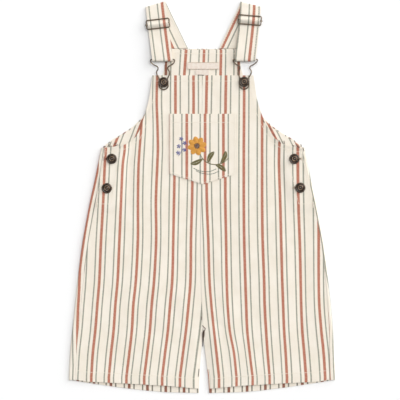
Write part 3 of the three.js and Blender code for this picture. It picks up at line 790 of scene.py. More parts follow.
def back_facing():
    def plan(s, t):
        x = NECK_FACING.x + NECK_FACING.half * (2 * t - 1)
        return x, lerp(NECK_FACING.top, NECK_FACING.bottom, s)

    def stripe(x, y):
        return between_stripes([along(NECK_STRIPE_Y, row, y) for row in NECK_STRIPES], x)

    return strip("back_facing", plan, FACING_Z, FACING, stripe)


POCKET = Sizes(x=1.3, half=46.6, top=116.9, side=33.2, point=18.3, red=4.3)


def chest_pocket():
    def place(down, share):
        across = 2 * share - 1
        x = POCKET.x + POCKET.half * across
        y = lerp(POCKET.top, lerp(POCKET.point, POCKET.side, abs(across)), down)
        base = on_front(x, y) + GAP
        return (x, y, base + CLOTH), (x, y, base), (x - POCKET.red, y)

    return cloth("chest_pocket", eased(*POCKET_ROWS), eased(*POCKET_COLS), place)


LABELS = {
    "main": {"x": 1.5, "y": 184, "width": 44, "height": 9.6},
    "size": {"x": 0.2, "y": 175.1, "width": 19, "height": 7.6},
}


def label(word):
    place = LABELS[word]

    def plan(s, t):
        return place["x"] + place["width"] * (t - 0.5), place["y"] + place["height"] * (0.5 - s)

    looks = {"kind": "tape", "material": TAPE, "slot": "label_tape"}
    return strip(f"label_{word}", plan, LABEL_Z, LABEL, lambda x, y: x, **looks)


# Lines and curves

UP = Vector((0, 0, 1))
CURVE_STEPS = 24  # fine steps from one of a curve's points to the next
LINE_STEPS = 12


def line(*corners):
    """Points in plan on straight lines from corner to corner."""
    points = [corners[0]]
    for (ax, ay), (bx, by) in zip(corners, corners[1:]):
        shares = [k / LINE_STEPS for k in range(1, LINE_STEPS + 1)]
        points += [(lerp(ax, bx, share), lerp(ay, by, share)) for share in shares]
    return points


def spaced(points, steps):
    """The same line with its points at even distances."""
    lengths = [0.0]
    for a, b in zip(points, points[1:]):
        lengths.append(lengths[-1] + (b - a).length)
    out = []
    i = 0
    for k in range(steps + 1):
        at = lengths[-1] * k / steps
        while i < len(points) - 2 and lengths[i + 1] < at:
            i += 1
        span = lengths[i + 1] - lengths[i]
        out.append(points[i].lerp(points[i + 1], clamp((at - lengths[i]) / span, 0, 1) if span else 0))
    return out


def catmull(points, steps, closed=False):
    """Points on a centripetal Catmull-Rom curve, evenly spaced along it."""
    count = len(points)
    spans = count if closed else count - 1

    def knot(i):
        if closed:
            return points[i % count]
        if i < 0:
            return points[0] * 2 - points[1]
        if i >= count:
            return points[-1] * 2 - points[-2]
        return points[i]

    fine = []
    for i in range(spans):
        p0, p1, p2, p3 = (knot(i + k) for k in (-1, 0, 1, 2))
        d0, d1, d2 = (max((b - a).length ** 0.5, 1e-4) for a, b in ((p0, p1), (p1, p2), (p2, p3)))
        m1 = ((p1 - p0) / d0 - (p2 - p0) / (d0 + d1) + (p2 - p1) / d1) * d1
        m2 = ((p2 - p1) / d1 - (p3 - p1) / (d1 + d2) + (p3 - p2) / d2) * d1
        for k in range(CURVE_STEPS):
            t = k / CURVE_STEPS
            h = t * t * (3 - 2 * t)
            fine.append(p1 * (1 - h) + p2 * h + m1 * (t * (1 - t) ** 2) + m2 * (t * t * (t - 1)))
    fine.append(knot(spans).copy())
    return spaced(fine, steps)


def curve(places, steps):
    """Points in plan on a smooth curve through some places."""
    return [(p.x, p.y) for p in catmull([Vector((*place, 0)) for place in places], steps)]


# Straps: their places in plan, the tilt of the slider, and where a red stripe lies to the right of the
# middle, on the face and on the other side

STRAP = Sizes(half=14.25, wall=1.4)
STRAPS = {
    "left": Sizes(
        bar=(-55.2, 192.8), slider=(-61.6, 242.5), fold=(-64.9, 270), root=(-35.4, 208.3),
        tilt=6.6, face=9, other=-4.4,
    ),
    "right": Sizes(
        bar=(60.6, 192.8), slider=(66.6, 247.8), fold=(68, 270), root=(39.2, 208.3),
        tilt=-5, face=5.3, other=-10.4,
    ),
}
WIRE = 1.05
WIRE_SEEN = 0.82  # the wire's own radius, a little less than the solids have
SLIDER = Sizes(half_x=16, half_y=6.25, corner=1.8, nub=1.8)
LAYER = STRAP.wall + GAP
CLEAR = WIRE + GAP + STRAP.wall / 2  # from a wire's middle to the middle of a strap on it
FLOOR_LAYER = STRAP.wall / 2
UNDER_Z = FLOOR_LAYER + LAYER
SLIDER_Z = UNDER_Z + LAYER + CLEAR
LOW_Z = SLIDER_Z - CLEAR
BAR_Z = FACING_Z + FACING + GAP + STRAP.wall / 2 + CLEAR
RUN_STEPS = 400
BAR_STEPS = 12
ARC_STEPS = 4
FOLD_STEPS = 8
BACK_STEPS = 20


def strap_stations(strap):
    """Middle points of the strap's length with half of its width as a vector, as the solids have it."""
    bar, slider, fold, root = (Vector((*p, 0)) for p in (strap.bar, strap.slider, strap.fold, strap.root))
    first = catmull([bar, slider, fold], RUN_STEPS)
    length = sum((b - a).length for a, b in zip(first, first[1:]))
    at_slider = min(range(RUN_STEPS + 1), key=lambda k: (first[k] - slider).length)
    slider_at = length * at_slider / RUN_STEPS
    stations = []

    def on_curve(distance):
        k = clamp(distance / length, 0, 1) * RUN_STEPS
        i = min(int(k), RUN_STEPS - 1)
        ahead = (first[min(RUN_STEPS, i + 2)] - first[max(0, i - 2)]).normalized()
        return first[i].lerp(first[i + 1], k - i), ahead

    def level_turn(ahead):
        square = UP.cross(ahead)
        return math.atan(-square.y / ahead.y)

    def on_run(distance, z, turn=0.0):
        point, ahead = on_curve(distance)
        cross = UP.cross(ahead) + ahead * math.tan(turn)
        stations.append((Vector((point.x, point.y, z)), cross * STRAP.half))

    # The under layer, from the slider's middle down to the buckle's bar
    slider_start = slider_at - SLIDER.half_y
    for distance, z in ((1, LOW_Z), (-1, LOW_Z), (-4, UNDER_Z), (-SLIDER.half_y - 3, UNDER_Z)):
        on_run(slider_at + distance, z)
    on_run(slider_at / 2, lerp(BAR_Z - CLEAR, UNDER_Z, 0.5))
    bar_turn = level_turn(on_curve(0)[1])
    on_run(9, BAR_Z - CLEAR, bar_turn / 2)

    # Round the bar, and up again to the slider
    reach = STRAP.half / math.cos(bar_turn)
    for step in range(BAR_STEPS + 1):
        angle = math.pi * step / BAR_STEPS
        point = bar + Vector((0, -CLEAR * math.sin(angle), BAR_Z - CLEAR * math.cos(angle)))
        stations.append((point, Vector((-reach, 0, 0))))
    for share, turn in ((0.14, bar_turn / 2), (0.3, 0), (0.5, 0), (0.7, 0)):
        on_run(slider_start * share, lerp(BAR_Z + CLEAR, LOW_Z, smoothstep(share, 0, 0.9)), turn)
    on_run(slider_start - 3, LOW_Z)

    # Under the slider's lower bar, over its middle bar and under its upper bar
    lean = math.asin(2 * CLEAR / SLIDER.half_y)
    for centre, start, end, sign in ((-1, 0, lean, -1), (0, -lean, lean, 1), (1, -lean, 0, -1)):
        for step in range(ARC_STEPS + 1):
            angle = lerp(start, end, step / ARC_STEPS)
            distance = slider_at + centre * SLIDER.half_y + CLEAR * math.sin(angle)
            on_run(distance, SLIDER_Z + sign * CLEAR * math.cos(angle))
    on_run(slider_at + SLIDER.half_y + 3, LOW_Z)

    # Over the fold at the shoulder
    radius = LAYER / 2
    back_ahead = (fold - root).normalized()
    front_ahead = on_curve(length)[1]
    middle = (back_ahead + front_ahead).normalized()
    crease = UP.cross(middle)

    def turn_of(direction):
        return math.atan2(crease.dot(direction), crease.dot(UP.cross(direction)))

    front_turn = turn_of(front_ahead)
    on_run(length - 7, lerp(LOW_Z, UNDER_Z, 0.75), front_turn / 2)
    stretch = STRAP.half / math.cos(front_turn)
    for step in range(FOLD_STEPS + 1):
        angle = math.pi * step / FOLD_STEPS
        point = fold + middle * (radius * math.sin(angle) - radius)
        point.z = FLOOR_LAYER + radius + radius * math.cos(angle)
        stations.append((point, crease * stretch))

    # Down behind to the back's top edge
    start = fold - middle * radius
    up_run = (start - root).normalized()
    for step in range(1, BACK_STEPS + 1):
        share = step / BACK_STEPS
        point = start.lerp(root, share)
        point.z = FLOOR_LAYER
        turn = lerp(turn_of(back_ahead), level_turn(up_run), share)
        stations.append((point, (UP.cross(up_run) + up_run * math.tan(turn)) * STRAP.half))
    return stations


def strap_run(word, longest):
    """The strap's stations, with more where they lie further apart than that. Each has the way along the
    strap to it, its point, its half width, and the directions off the strap's face and ahead."""
    rough = strap_stations(STRAPS[word])
    stations = rough[:1]
    for (p0, c0), (p1, c1) in zip(rough, rough[1:]):
        steps = max(1, math.ceil((p1 - p0).length / longest))
        stations += [(p0.lerp(p1, k / steps), c0.lerp(c1, k / steps)) for k in range(1, steps + 1)]
    run = []
    travelled = 0.0
    for i, (point, cross) in enumerate(stations):
        before = stations[max(0, i - 1)][0]
        ahead = stations[min(len(stations) - 1, i + 1)][0] - before
        travelled += (point - before).length
        run.append((travelled, point, cross, ahead.cross(cross).normalized(), ahead.normalized()))
    return run


def strap(side):
    word = hand(side)
    lay = STRAPS[word]

    def place(station, share):
        travelled, point, cross, up, _ = station
        edge = 2 * share - 1
        middle = point + cross * edge
        lift = up * (STRAP.wall / 2)
        uvs = [(-edge * STRAP.half - red, travelled) for red in (lay.face, lay.other)]
        return tuple(middle + lift), tuple(middle - lift), *uvs

    return cloth(f"strap_{word}", strap_run(word, STRAP_STEP), eased(*STRAP_COLS), place)


# Wires and threads

WIRE_SIDES = 14
THREAD = 0.32  # radius of the sewing thread
THREAD_SIDES = 5


def tube(points, radius, sides, closed):
    """A round wire along points, as mesh points and faces."""
    count = len(points)
    rings = []
    for i, point in enumerate(points):
        if closed:
            ahead = points[(i + 1) % count] - points[i - 1]
        else:
            ahead = points[min(count - 1, i + 1)] - points[max(0, i - 1)]
        side = UP.cross(ahead).normalized() * radius
        up = ahead.cross(side).normalized() * radius
        for k in range(sides):
            angle = 2 * math.pi * k / sides
            rings.append(tuple(point + side * math.cos(angle) + up * math.sin(angle)))
    faces = []
    for i in range(count if closed else count - 1):
        a, b = i * sides, (i + 1) % count * sides
        faces += [(a + k, a + (k + 1) % sides, b + (k + 1) % sides, b + k) for k in range(sides)]
    if not closed:
        faces.append(tuple(range(sides - 1, -1, -1)))
        faces.append(tuple((count - 1) * sides + k for k in range(sides)))
    return rings, faces


class Threads:
    """Lengths of thread or wire in one mesh."""

    def __init__(self):
        self.points = []
        self.faces = []

    def add(self, points, radius, sides=THREAD_SIDES, closed=False):
        rings, faces = tube([Vector(p) for p in points], radius, sides, closed)
        offset = len(self.points)
        self.points += rings
        self.faces += [tuple(k + offset for k in face) for face in faces]

    def make(self, name, material, slot="canvas", node=None):
        return make(name, self.points, self.faces, material, node)


# Right half of the buckle's wire, from the foot of its loop up to its bar: off its middle, and up from
# the button
BUCKLE = {
    "off": [0, 3.6, 6.1, 6.3, 5.7, 6.4, 8.9, 9, 6.9, 7.4, 11.6, 15.6, 16.8, 16.5],
    "up": [-10.2, -9.1, -6, -2, 2.4, 6.6, 11.4, 15, 18.6, 21.6, 24, 27.2, 29.8, 31.4],
}
BUCKLE_STEPS = 220
BAR_END = 15
WIRE_Z = REST + GAP + WIRE
BIB_BUTTONS = {"left": (-53.6, 160.9), "right": (58.9, 161.5)}


def buckle(side):
    word = hand(side)
    x, y = BIB_BUTTONS[word]
    bar_x, bar_y = STRAPS[word].bar
    rise = bar_y - y

    def place(off, up):
        share = clamp(up / rise, 0, 1)
        return Vector((lerp(x, bar_x, share) + off, y + up, lerp(WIRE_Z, BAR_Z, share)))

    pairs = list(zip(BUCKLE["off"], BUCKLE["up"]))
    right = [place(off, up) for off, up in pairs]
    left = [place(-off, up) for off, up in pairs[:0:-1]]
    bar = [place(BAR_END, rise), place(-BAR_END, rise)]
    wire = Threads()
    wire.add(catmull(right + bar + left, BUCKLE_STEPS, True)[:-1], WIRE_SEEN, WIRE_SIDES, True)
    return wire.make(f"buckle_{word}_wire", WIRE_METAL, "antique_metal", f"buckle_{word}")


CORNER_STEPS = 8
SLIDER_STEPS = 160
SLIDER_BAR = Sizes(steps=20, share=0.98)  # its radius as a share of the rim's


def slider(side):
    """A rounded rim with a bar across its middle, which stands out a little on the garment's outer side."""
    word = hand(side)
    turned = Matrix.Rotation(math.radians(STRAPS[word].tilt), 3, "Z")
    middle = Vector((*STRAPS[word].slider, SLIDER_Z))
    rim = []
    for sx, sy, quarter in ((1, 1, 0), (-1, 1, 1), (-1, -1, 2), (1, -1, 3)):
        corner = Vector((sx * (SLIDER.half_x - SLIDER.corner), sy * (SLIDER.half_y - SLIDER.corner), 0))
        for step in range(CORNER_STEPS + 1):
            angle = math.pi / 2 * (quarter + step / CORNER_STEPS)
            rim.append(corner + Vector((math.cos(angle), math.sin(angle), 0)) * SLIDER.corner)
    ends = sorted((-side * SLIDER.half_x, side * (SLIDER.half_x + SLIDER.nub)))
    bar = [Vector((lerp(*ends, k / SLIDER_BAR.steps), 0, 0)) for k in range(SLIDER_BAR.steps + 1)]
    rim = spaced(rim + rim[:1], SLIDER_STEPS)[:-1]
    wire = Threads()
    for points, share, closed in ((rim, 1, True), (bar, SLIDER_BAR.share, False)):
        wire.add([turned @ p + middle for p in points], WIRE_SEEN * share, WIRE_SIDES, closed)
    return wire.make(f"slider_{word}_wire", WIRE_METAL, "antique_metal", f"slider_{word}")


# Buttons: radius and height of the head's profile, from the shank to the middle of the dome
BUTTON_HEAD = [
    (5.4, 0), (6.5, 0.15), (7, 0.5), (7.2, 1), (7.15, 1.45), (6.9, 1.8), (6.5, 2.05), (6.1, 2.18),
    (5.75, 2.18), (5.45, 2), (5.2, 1.8), (4.9, 1.84), (4.4, 2.06), (3.8, 2.36), (3.3, 2.52), (2.9, 2.5),
    (2.5, 2.32), (2.1, 2.2), (1.7, 2.3), (1.2, 2.52), (0.6, 2.66), (0, 2.7),
]
SHANK = 3.2
BIB_SHANK = 2 * WIRE + GAP
SIDE_SHANK = 0.8
SIDE_BUTTONS = {
    "side_button_left_upper": (-126, 54),
    "side_button_left_lower": (-132.9, 13),
    "side_button_right_upper": (129.1, 54),
    "side_button_right_lower": (137.2, 13.7),
}
BUTTON_SIDES = 48


def button(node, x, y, foot):
    base = on_front(x, y) + GAP
    profile = [(SHANK, 0), (SHANK, foot)] + [(r, z + foot) for r, z in BUTTON_HEAD]
    top = profile.pop()[1]
    points, uvs = [(x, y, base)], [(0, 0)]
    for r, z in profile:
        for k in range(BUTTON_SIDES):
            angle = 2 * math.pi * k / BUTTON_SIDES
            points.append((x + r * math.cos(angle), y + r * math.sin(angle), base + z))
            uvs.append((r, z))
    points.append((x, y, base + top))
    uvs.append((0, top))
    last = 1 + (len(profile) - 1) * BUTTON_SIDES
    faces = []
    for k in range(BUTTON_SIDES):
        n = (k + 1) % BUTTON_SIDES
        faces.append((0, 1 + n, 1 + k))
        for a in range(1, last, BUTTON_SIDES):
            b = a + BUTTON_SIDES
            faces.append((a + k, a + n, b + n, b + k))
        faces.append((last + k, last + n, len(points) - 1))
    return make(f"{node}_metal", points, faces, BUTTON_METAL, node, uvs)


# Sewing. A thread's arc gives its rise over the cloth at shares of its length.

STITCH = Sizes(pitch=3.0, length=2.3, sink=0.2, lift=0.16)
STITCH_ARC = ((0, -STITCH.sink), (0.12, 0.02), (0.5, STITCH.lift), (0.88, 0.02), (1, -STITCH.sink))


def laid(start, end, arc, height):
    """Points of a thread that lies on a surface from one place in plan to another."""
    points = []
    for share, rise in arc:
        x, y = lerp(start[0], end[0], share), lerp(start[1], end[1], share)
        points.append((x, y, height(x, y) + rise))
    return points


def stitches(threads, path, height, radius=THREAD, pitch=STITCH.pitch, length=STITCH.length):
    """A row of machine stitches along a path in plan, lying on a surface."""
    path = [Vector((x, y, 0)) for x, y in path]
    count = max(1, round(sum((b - a).length for a, b in zip(path, path[1:])) / pitch))
    points = spaced(path, count)
    for place, after in zip(points, points[1:]):
        ahead = (after - place).normalized()
        middle = place + ahead * (pitch / 2)
        half = ahead * (length / 2)
        threads.add(laid(middle - half, middle + half, STITCH_ARC, height), radius)


BIB_STITCH = 8
HEM_STITCH = 13.5
ARMHOLE_STITCH = 6
OPENING_STITCH = 22
OPENING_ROWS = 20  # from one row of stitches at the opening to the other
# Where rows begin and end: the bib's in place, the armhole's and the hem's at shares of the width
BIB_ROW = (-66, 68.5)
ARMHOLE_ROW = (0.522, 0.985)
HEM_ROW = (0.01, 0.985)
EDGE_STEPS = 40


def edge_points(side, row, down):
    """Points in plan on the front's top edge or on its hem, from one share of the width to another."""
    return [front_point(side, lerp(*row, k / EDGE_STEPS), down) for k in range(EDGE_STEPS + 1)]


def armhole_path(side):
    """A path on the front, inside its edge at the armhole."""
    edge = [Vector((*point, 0)) for point in edge_points(side, ARMHOLE_ROW, 0)]
    out = []
    for i, p in enumerate(edge):
        ahead = (edge[min(EDGE_STEPS, i + 1)] - edge[max(0, i - 1)]).normalized()
        out.append((p.x + side * ahead.y * ARMHOLE_STITCH, p.y - side * ahead.x * ARMHOLE_STITCH))
    return out


def hem_path(side):
    return [(x, y + HEM_STITCH) for x, y in edge_points(side, HEM_ROW, 1)]


def front_stitches():
    rows = Threads()
    y = BIB_Y - BIB_STITCH
    paths = [line(*((x, y) for x in BIB_ROW))]
    for side in (-1, 1):
        heights = [lerp(ARMHOLE_Y - STAND.margin, OPENING_Y, k / LINE_STEPS) for k in range(LINE_STEPS + 1)]
        opening = [(seam_x(side, y, OPENING_STITCH), y) for y in heights]
        edge = [(x + side * OPENING_ROWS, y) for x, y in opening]
        paths += [armhole_path(side), hem_path(side), opening, edge, line(opening[-1], edge[-1])]
    for path in paths:
        stitches(rows, path, on_front)
    return rows.make("front_stitches", THREAD_CREAM)


POCKET_STITCH = 2
POCKET_HEM = 12
POCKET_CORNER = Sizes(down=1.5, width=5)
CORNER_THREAD = {"pitch": 1.2, "length": 1.1}


def pocket_stitches():
    rows = Threads()
    left = POCKET.x - POCKET.half + POCKET_STITCH
    right = POCKET.x + POCKET.half - POCKET_STITCH
    low = POCKET.side + POCKET_STITCH
    point = (POCKET.x, POCKET.point + POCKET_STITCH)
    round_it = line((left, POCKET.top), (left, low), point, (right, low), (right, POCKET.top))
    stitches(rows, round_it, on_pocket)
    y = POCKET.top - POCKET_HEM
    stitches(rows, line((left, y), (right, y)), on_pocket)
    y = POCKET.top - POCKET_CORNER.down
    for x, towards in ((left, 1), (right, -1)):
        corner = line((x, y), (x + towards * POCKET_CORNER.width, y))
        stitches(rows, corner, on_pocket, **CORNER_THREAD)
    return rows.make("pocket_stitches", THREAD_CREAM)


NECK_STITCH = 7
NECK_ROW = (-44, 47)
# The main label's stitches: how far they lie inside its ends, its top and its bottom, and how short they stop
LABEL_ROWS = Sizes(ends=1.2, top=0.2, bottom=0.3, short=0.6)
END_THREAD = {"radius": 0.16, "pitch": 1.6, "length": 1.3}
OUTLINE_THREAD = {"radius": 0.3, "pitch": 1.5, "length": 1.4}


def on_neck(x, y):
    return FACING_Z + FACING


def on_label(x, y):
    return LABEL_Z + LABEL


def neck_stitches():
    """The row below the neck's edge, a fine row at each end of the main label, and rows along it."""
    rows, outline = Threads(), Threads()
    y = NECK_Y - NECK_STITCH
    stitches(rows, line(*((x, y) for x in NECK_ROW)), on_neck)
    place, short = LABELS["main"], LABEL_ROWS.short
    left, right = (place["x"] + sign * place["width"] / 2 for sign in (-1, 1))
    low, high = (place["y"] + sign * place["height"] / 2 for sign in (-1, 1))
    for x in (left + LABEL_ROWS.ends, right - LABEL_ROWS.ends):
        stitches(rows, line((x, low + short), (x, high - short)), on_label, **END_THREAD)
    for y in (high - LABEL_ROWS.top, low + LABEL_ROWS.bottom):
        stitches(outline, line((left + short, y), (right - short, y)), on_label, **OUTLINE_THREAD)
    outline.make("label_stitches", THREAD_BROWN)
    return rows.make("neck_stitches", THREAD_CREAM)


STRAP_STITCH = 2.4
STITCH_STEP = 1.0  # how finely a strap is followed for its stitches
FACES_UP = 0.6  # a face of the strap is stitched where it looks up at least so much


def strap_stitches(side):
    """Edge stitching on what shows of the strap: its face up to the fold, and its other side behind it."""
    word = hand(side)
    rows = Threads()
    edge = (STRAP.half - STRAP_STITCH) / STRAP.half
    next_at = 0.0
    for travelled, point, cross, up, ahead in strap_run(word, STITCH_STEP):
        if travelled < next_at:
            continue
        next_at = travelled + STITCH.pitch
        step = ahead * (STITCH.length / 2)
        for face in (up, -up):
            if face.z < FACES_UP:
                continue
            for sign in (-edge, edge):
                middle = point + cross * sign + face * (STRAP.wall / 2)
                sunk = middle - face * STITCH.sink
                arc = [sunk - step, middle - step * 0.75, middle + face * STITCH.lift]
                rows.add(arc + [middle + step * 0.75, sunk + step], THREAD)
    return rows.make(f"strap_{word}_stitches", THREAD_CREAM)


# Embroidery on the pocket: a flower on a leafy stem, a small blue sprig and a ground line

FILL = Sizes(pitch=0.42, radius=0.27, lift=0.3, shortest=0.3)


def satin(threads, outline):
    """Fills a shape with threads laid across it: outline(t) gives the thread's ends at t from 0 to 1."""
    (a0, b0), (a1, b1) = outline(0.0), outline(1.0)
    count = max(2, round((a1 + b1 - a0 - b0).length / 2 / FILL.pitch))
    for k in range(count + 1):
        start, end = outline(k / count)
        width = (end - start).length
        if width >= FILL.shortest:
            arc = ((0, -0.25), (0.08, 0.12), (0.5, FILL.lift + 0.02 * width), (0.92, 0.12), (1, -0.25))
            threads.add(laid(start, end, arc, on_pocket), FILL.radius)


def square_to(direction):
    return Vector((-direction.y, direction.x, 0)).normalized()


# A flower's heart is made of knots, set like seeds in a spiral
FLOWER = Sizes(x=-7, y=72, petals=8, inner=3.4, outer=13.2, width=4.9)
HEART = Sizes(knots=46, spacing=0.62, turn=2.39996, knot=0.32, rise=0.35, radius=0.3)


def flower():
    petals = Threads()
    centre = Vector((FLOWER.x, FLOWER.y, 0))
    for k in range(FLOWER.petals):
        turn = 2 * math.pi * k / FLOWER.petals + 0.2
        reach = FLOWER.outer * (1 + 0.05 * math.sin(3.1 * k))
        ahead = Vector((math.cos(turn), math.sin(turn), 0))

        def outline(t, ahead=ahead, reach=reach):
            place = centre + ahead * lerp(FLOWER.inner, reach, t)
            half = FLOWER.width * math.sin(math.pi * (0.2 + 0.78 * t)) ** 0.6
            across = square_to(ahead) * max(0.3, half * (0.62 + 0.38 * t))
            return place - across, place + across

        satin(petals, outline)
    return petals.make("embroidery_petals", thread_material("thread_yellow", "#e6ac4a", "#d08f36"))


def flower_heart():
    heart = Threads()
    for k in range(HEART.knots):
        turn = HEART.turn * k
        x = FLOWER.x + HEART.spacing * math.sqrt(k) * math.cos(turn)
        y = FLOWER.y + HEART.spacing * math.sqrt(k) * math.sin(turn)
        z = on_pocket(x, y) + HEART.rise
        angles = [2 * math.pi * step / 6 + turn for step in range(7)]
        knot = [(x + HEART.knot * math.cos(a), y + HEART.knot * math.sin(a)) for a in angles]
        heart.add([(px, py, z + 0.03 * step) for step, (px, py) in enumerate(knot)], HEART.radius)
    return heart.make("embroidery_heart", thread_material("thread_brown", "#7a4a2c", "#5a3520"))


STEM = [(-3, 60.5), (2, 53), (10, 47.5), (20, 46), (30, 49), (37, 55)]
Leaf = namedtuple("Leaf", "base tip width bend")
LEAVES = [
    Leaf((1, 54), (-16, 47), 3.2, 1.5),
    Leaf((8, 48.5), (17, 64), 3.4, 1.6),
    Leaf((19, 46), (33, 36.5), 3.2, 1.4),
    Leaf((26, 47.2), (33.5, 65), 3.1, -1.5),
]
STEM_THREAD = {"radius": 0.3, "pitch": 2.2, "length": 2.6}
SPRIG = [(-33, 58), (-29, 64), (-27.5, 71), (-28.5, 78)]
SPRIG_THREAD = {"radius": 0.36, "pitch": 1.9, "length": 1.6}
SPRIG_BLOOMS = [(-33.5, 62.5), (-24.5, 66.5), (-32.5, 71.5), (-24.2, 76), (-29, 82)]
BLOOM = Sizes(petals=5, inner=0.5, outer=2.7, spread=0.35, arc=((0, 0), (0.5, 0.42), (1, -0.15)))
GROUND = [(-12, 41), (-4, 37.4), (4, 36), (12, 36.6), (20, 40)]
GROUND_THREAD = {"radius": 0.42, "pitch": 3.0, "length": 2.4}


def leaf_half(leaf, sign):
    """One half of a leaf: threads run from its vein outwards and towards the tip."""
    base, tip = Vector((*leaf.base, 0)), Vector((*leaf.tip, 0))
    across = square_to(tip - base)

    def outline(t):
        vein = base.lerp(tip, t) + across * (leaf.bend * math.sin(math.pi * t))
        spread = leaf.width * math.sin(math.pi * min(1, t * 0.96 + 0.03)) ** 0.8
        slant = (tip - base) * 0.07 * math.sin(math.pi * t)
        return vein + across * (sign * 0.22), vein + across * (sign * spread) + slant

    return outline


def leaves():
    green = Threads()
    for leaf in LEAVES:
        for sign in (-1, 1):
            satin(green, leaf_half(leaf, sign))
    for off in (-0.35, 0.35):
        stitches(green, [(x, y + off) for x, y in curve(STEM, 60)], on_pocket, **STEM_THREAD)
    return green.make("embroidery_leaves", thread_material("thread_olive", "#7d7443", "#5d5a34"))


def sprig():
    blue = Threads()
    stitches(blue, curve(SPRIG, 40), on_pocket, **SPRIG_THREAD)
    for x, y in SPRIG_BLOOMS:
        for k in range(BLOOM.petals):
            turn = 2 * math.pi * k / BLOOM.petals + x
            for off in (-BLOOM.spread, 0, BLOOM.spread):
                start = (x + BLOOM.inner * math.cos(turn), y + BLOOM.inner * math.sin(turn))
                out = turn + off * 0.6
                end = (x + BLOOM.outer * math.cos(out), y + BLOOM.outer * math.sin(out))
                blue.add(laid(start, end, BLOOM.arc, on_pocket), SPRIG_THREAD["radius"])
    return blue.make("embroidery_sprig", thread_material("thread_blue", "#4b56a8", "#39428a"))


def ground_line():
    green = Threads()
    for drop in (0, 3.4):
        stitches(green, curve([(x + drop, y - drop) for x, y in GROUND], 40), on_pocket, **GROUND_THREAD)
    return green.make("embroidery_ground", thread_material("thread_green", "#43604a", "#33493a"))


# Buttonholes: a slit with its edges oversewn, which runs outwards from the button's shank, or inwards. The
# slit is a dark thread, painted shade in the opening.

HOLE_FROM = -3
SLIT_HALF = 0.25
SEWN_HALF = 1.4
HOLES = {
    "side_button_left_upper": Sizes(out=-1, to=10.6, half=3),
    "side_button_left_lower": Sizes(out=1, to=6.6, half=1.6),
    "side_button_right_upper": Sizes(out=1, to=10.2, half=2.4),
    "side_button_right_lower": Sizes(out=-1, to=9.4, half=1.4),
}
RED_HOLE = "side_button_left_upper"
HOLE_SEWN = Sizes(steps=24, short=1.2, radius=0.22, arc=((0, -0.1), (0.5, 0.26), (1, -0.12)))
HOLE_END = Sizes(pitch=1.5, beyond=0.4, lean=0.1, low=-0.1, high=0.32, radius=0.3)
SLIT_ARC = [(k / 10, 0.04) for k in range(11)]
BAR_HALF = 1.3  # half of the length of a bar of thread


def cross_bar(threads, x, y, bar):
    """A short thread across a place, with its ends so low and its middle so high against the cloth there."""
    z = on_front(x, y)
    start, end = ((x + off, y, z + bar.low) for off in (-BAR_HALF, BAR_HALF))
    threads.add([start, (x, y + bar.lean, z + bar.high), end], bar.radius)


def buttonholes():
    brown, red, slit = Threads(), Threads(), Threads()
    for node, hole in HOLES.items():
        sewn = red if node == RED_HOLE else brown
        x, y = SIDE_BUTTONS[node]
        for k in range(HOLE_SEWN.steps + 1):
            px = x + hole.out * lerp(HOLE_FROM, hole.to - HOLE_SEWN.short, k / HOLE_SEWN.steps)
            for sign in (-1, 1):
                ends = (px, y + sign * SLIT_HALF), (px, y + sign * SEWN_HALF)
                sewn.add(laid(*ends, HOLE_SEWN.arc, on_front), HOLE_SEWN.radius)
        bars = max(3, round(hole.half * 2 / HOLE_END.pitch))
        for k in range(bars):
            py = y + lerp(-hole.half, hole.half, (k + 0.5) / bars)
            cross_bar(sewn, x + hole.out * (hole.to + HOLE_END.beyond), py, HOLE_END)
        # The slit: a dark thread as painted shade in the opening.
        ends = (x + hole.out * HOLE_FROM, y), (x + hole.out * hole.to, y)
        slit.add(laid(*ends, SLIT_ARC, on_front), SLIT_HALF)
    brown.make("buttonhole_thread", THREAD_BROWN)
    red.make("buttonhole_thread_red", THREAD_RED)
    slit.make("buttonhole_slit_shade", SHADE_THREAD)


TACK = Sizes(count=16, height=8, inside=2.2, lean=0.2, low=-0.15, high=0.28, radius=0.24)


def bar_tacks():
    """Close zigzag stitches that stop the side openings from tearing."""
    tacks = Threads()
    y = OPENING_Y - 1
    for side in (-1, 1):
        x = seam_x(side, y, TACK.inside)
        for k in range(TACK.count):
            cross_bar(tacks, x, y + TACK.height * (k / (TACK.count - 1) - 0.5), TACK)
    return tacks.make("bar_tacks", THREAD_CREAM)


# Painted shade: short dark threads laid where an edge stands open, at the armholes, the bib's top edge, the
# crotch and the left leg's inner edge

SHADE_MARKS = [
    [(-137.6, 71.2), (-134.8, 71.4)],
    [(-131.6, 70.8), (-129.9, 74.6)],
    [(-129, 71.8), (-125.8, 71.6)],
    [(-122.8, 74.4), (-119.6, 76.4)],
    [(-122.2, 71.8), (-117.4, 73.6)],
    [(131.4, 73.8), (133.4, 71.4)],
    [(132.4, 72), (136, 69.6)],
    [(126.4, 73), (128.4, 72)],
    [(114.6, 79), (115, 75)],
    [(138, 74.6), (138.7, 71)],
    [(140.8, 70), (142.6, 64.8)],
    [(85.2, 108.4), (87.2, 104.6)],
    [(94.4, 97.6), (96.8, 93.4)],
    [(99.8, 88.8), (101.4, 86.4)],
    [(107.2, 80), (110, 75.4)],
    [(-5.6, 171.2), (-1.8, 171)],
    [(-1.4, 171.1), (2.4, 170.8)],
    [(-0.8, -166.4), (-0.5, -171)],
    [(0.3, -178.8), (4.8, -183.4)],
    [(4.9, -183.2), (3.2, -187)],
    [(-4.2, -239.5), (-5.3, -250.5)],
]
SHADE_MARK_ARC = [(k / 6, 0.22 if 0 < k < 6 else -0.3) for k in range(7)]
SHADE_MARK_RADIUS = 0.52


def shade_marks():
    marks = Threads()
    for mark in SHADE_MARKS:
        # Each mark is a dark thread as painted shade.
        marks.add(laid(*mark, SHADE_MARK_ARC, on_front), SHADE_MARK_RADIUS)
    return marks.make("shade_marks", SHADE_THREAD)


# The leg seam's allowance at the top of the gap between the legs, in dark thread: painted shade where the gap
# lies in shadow

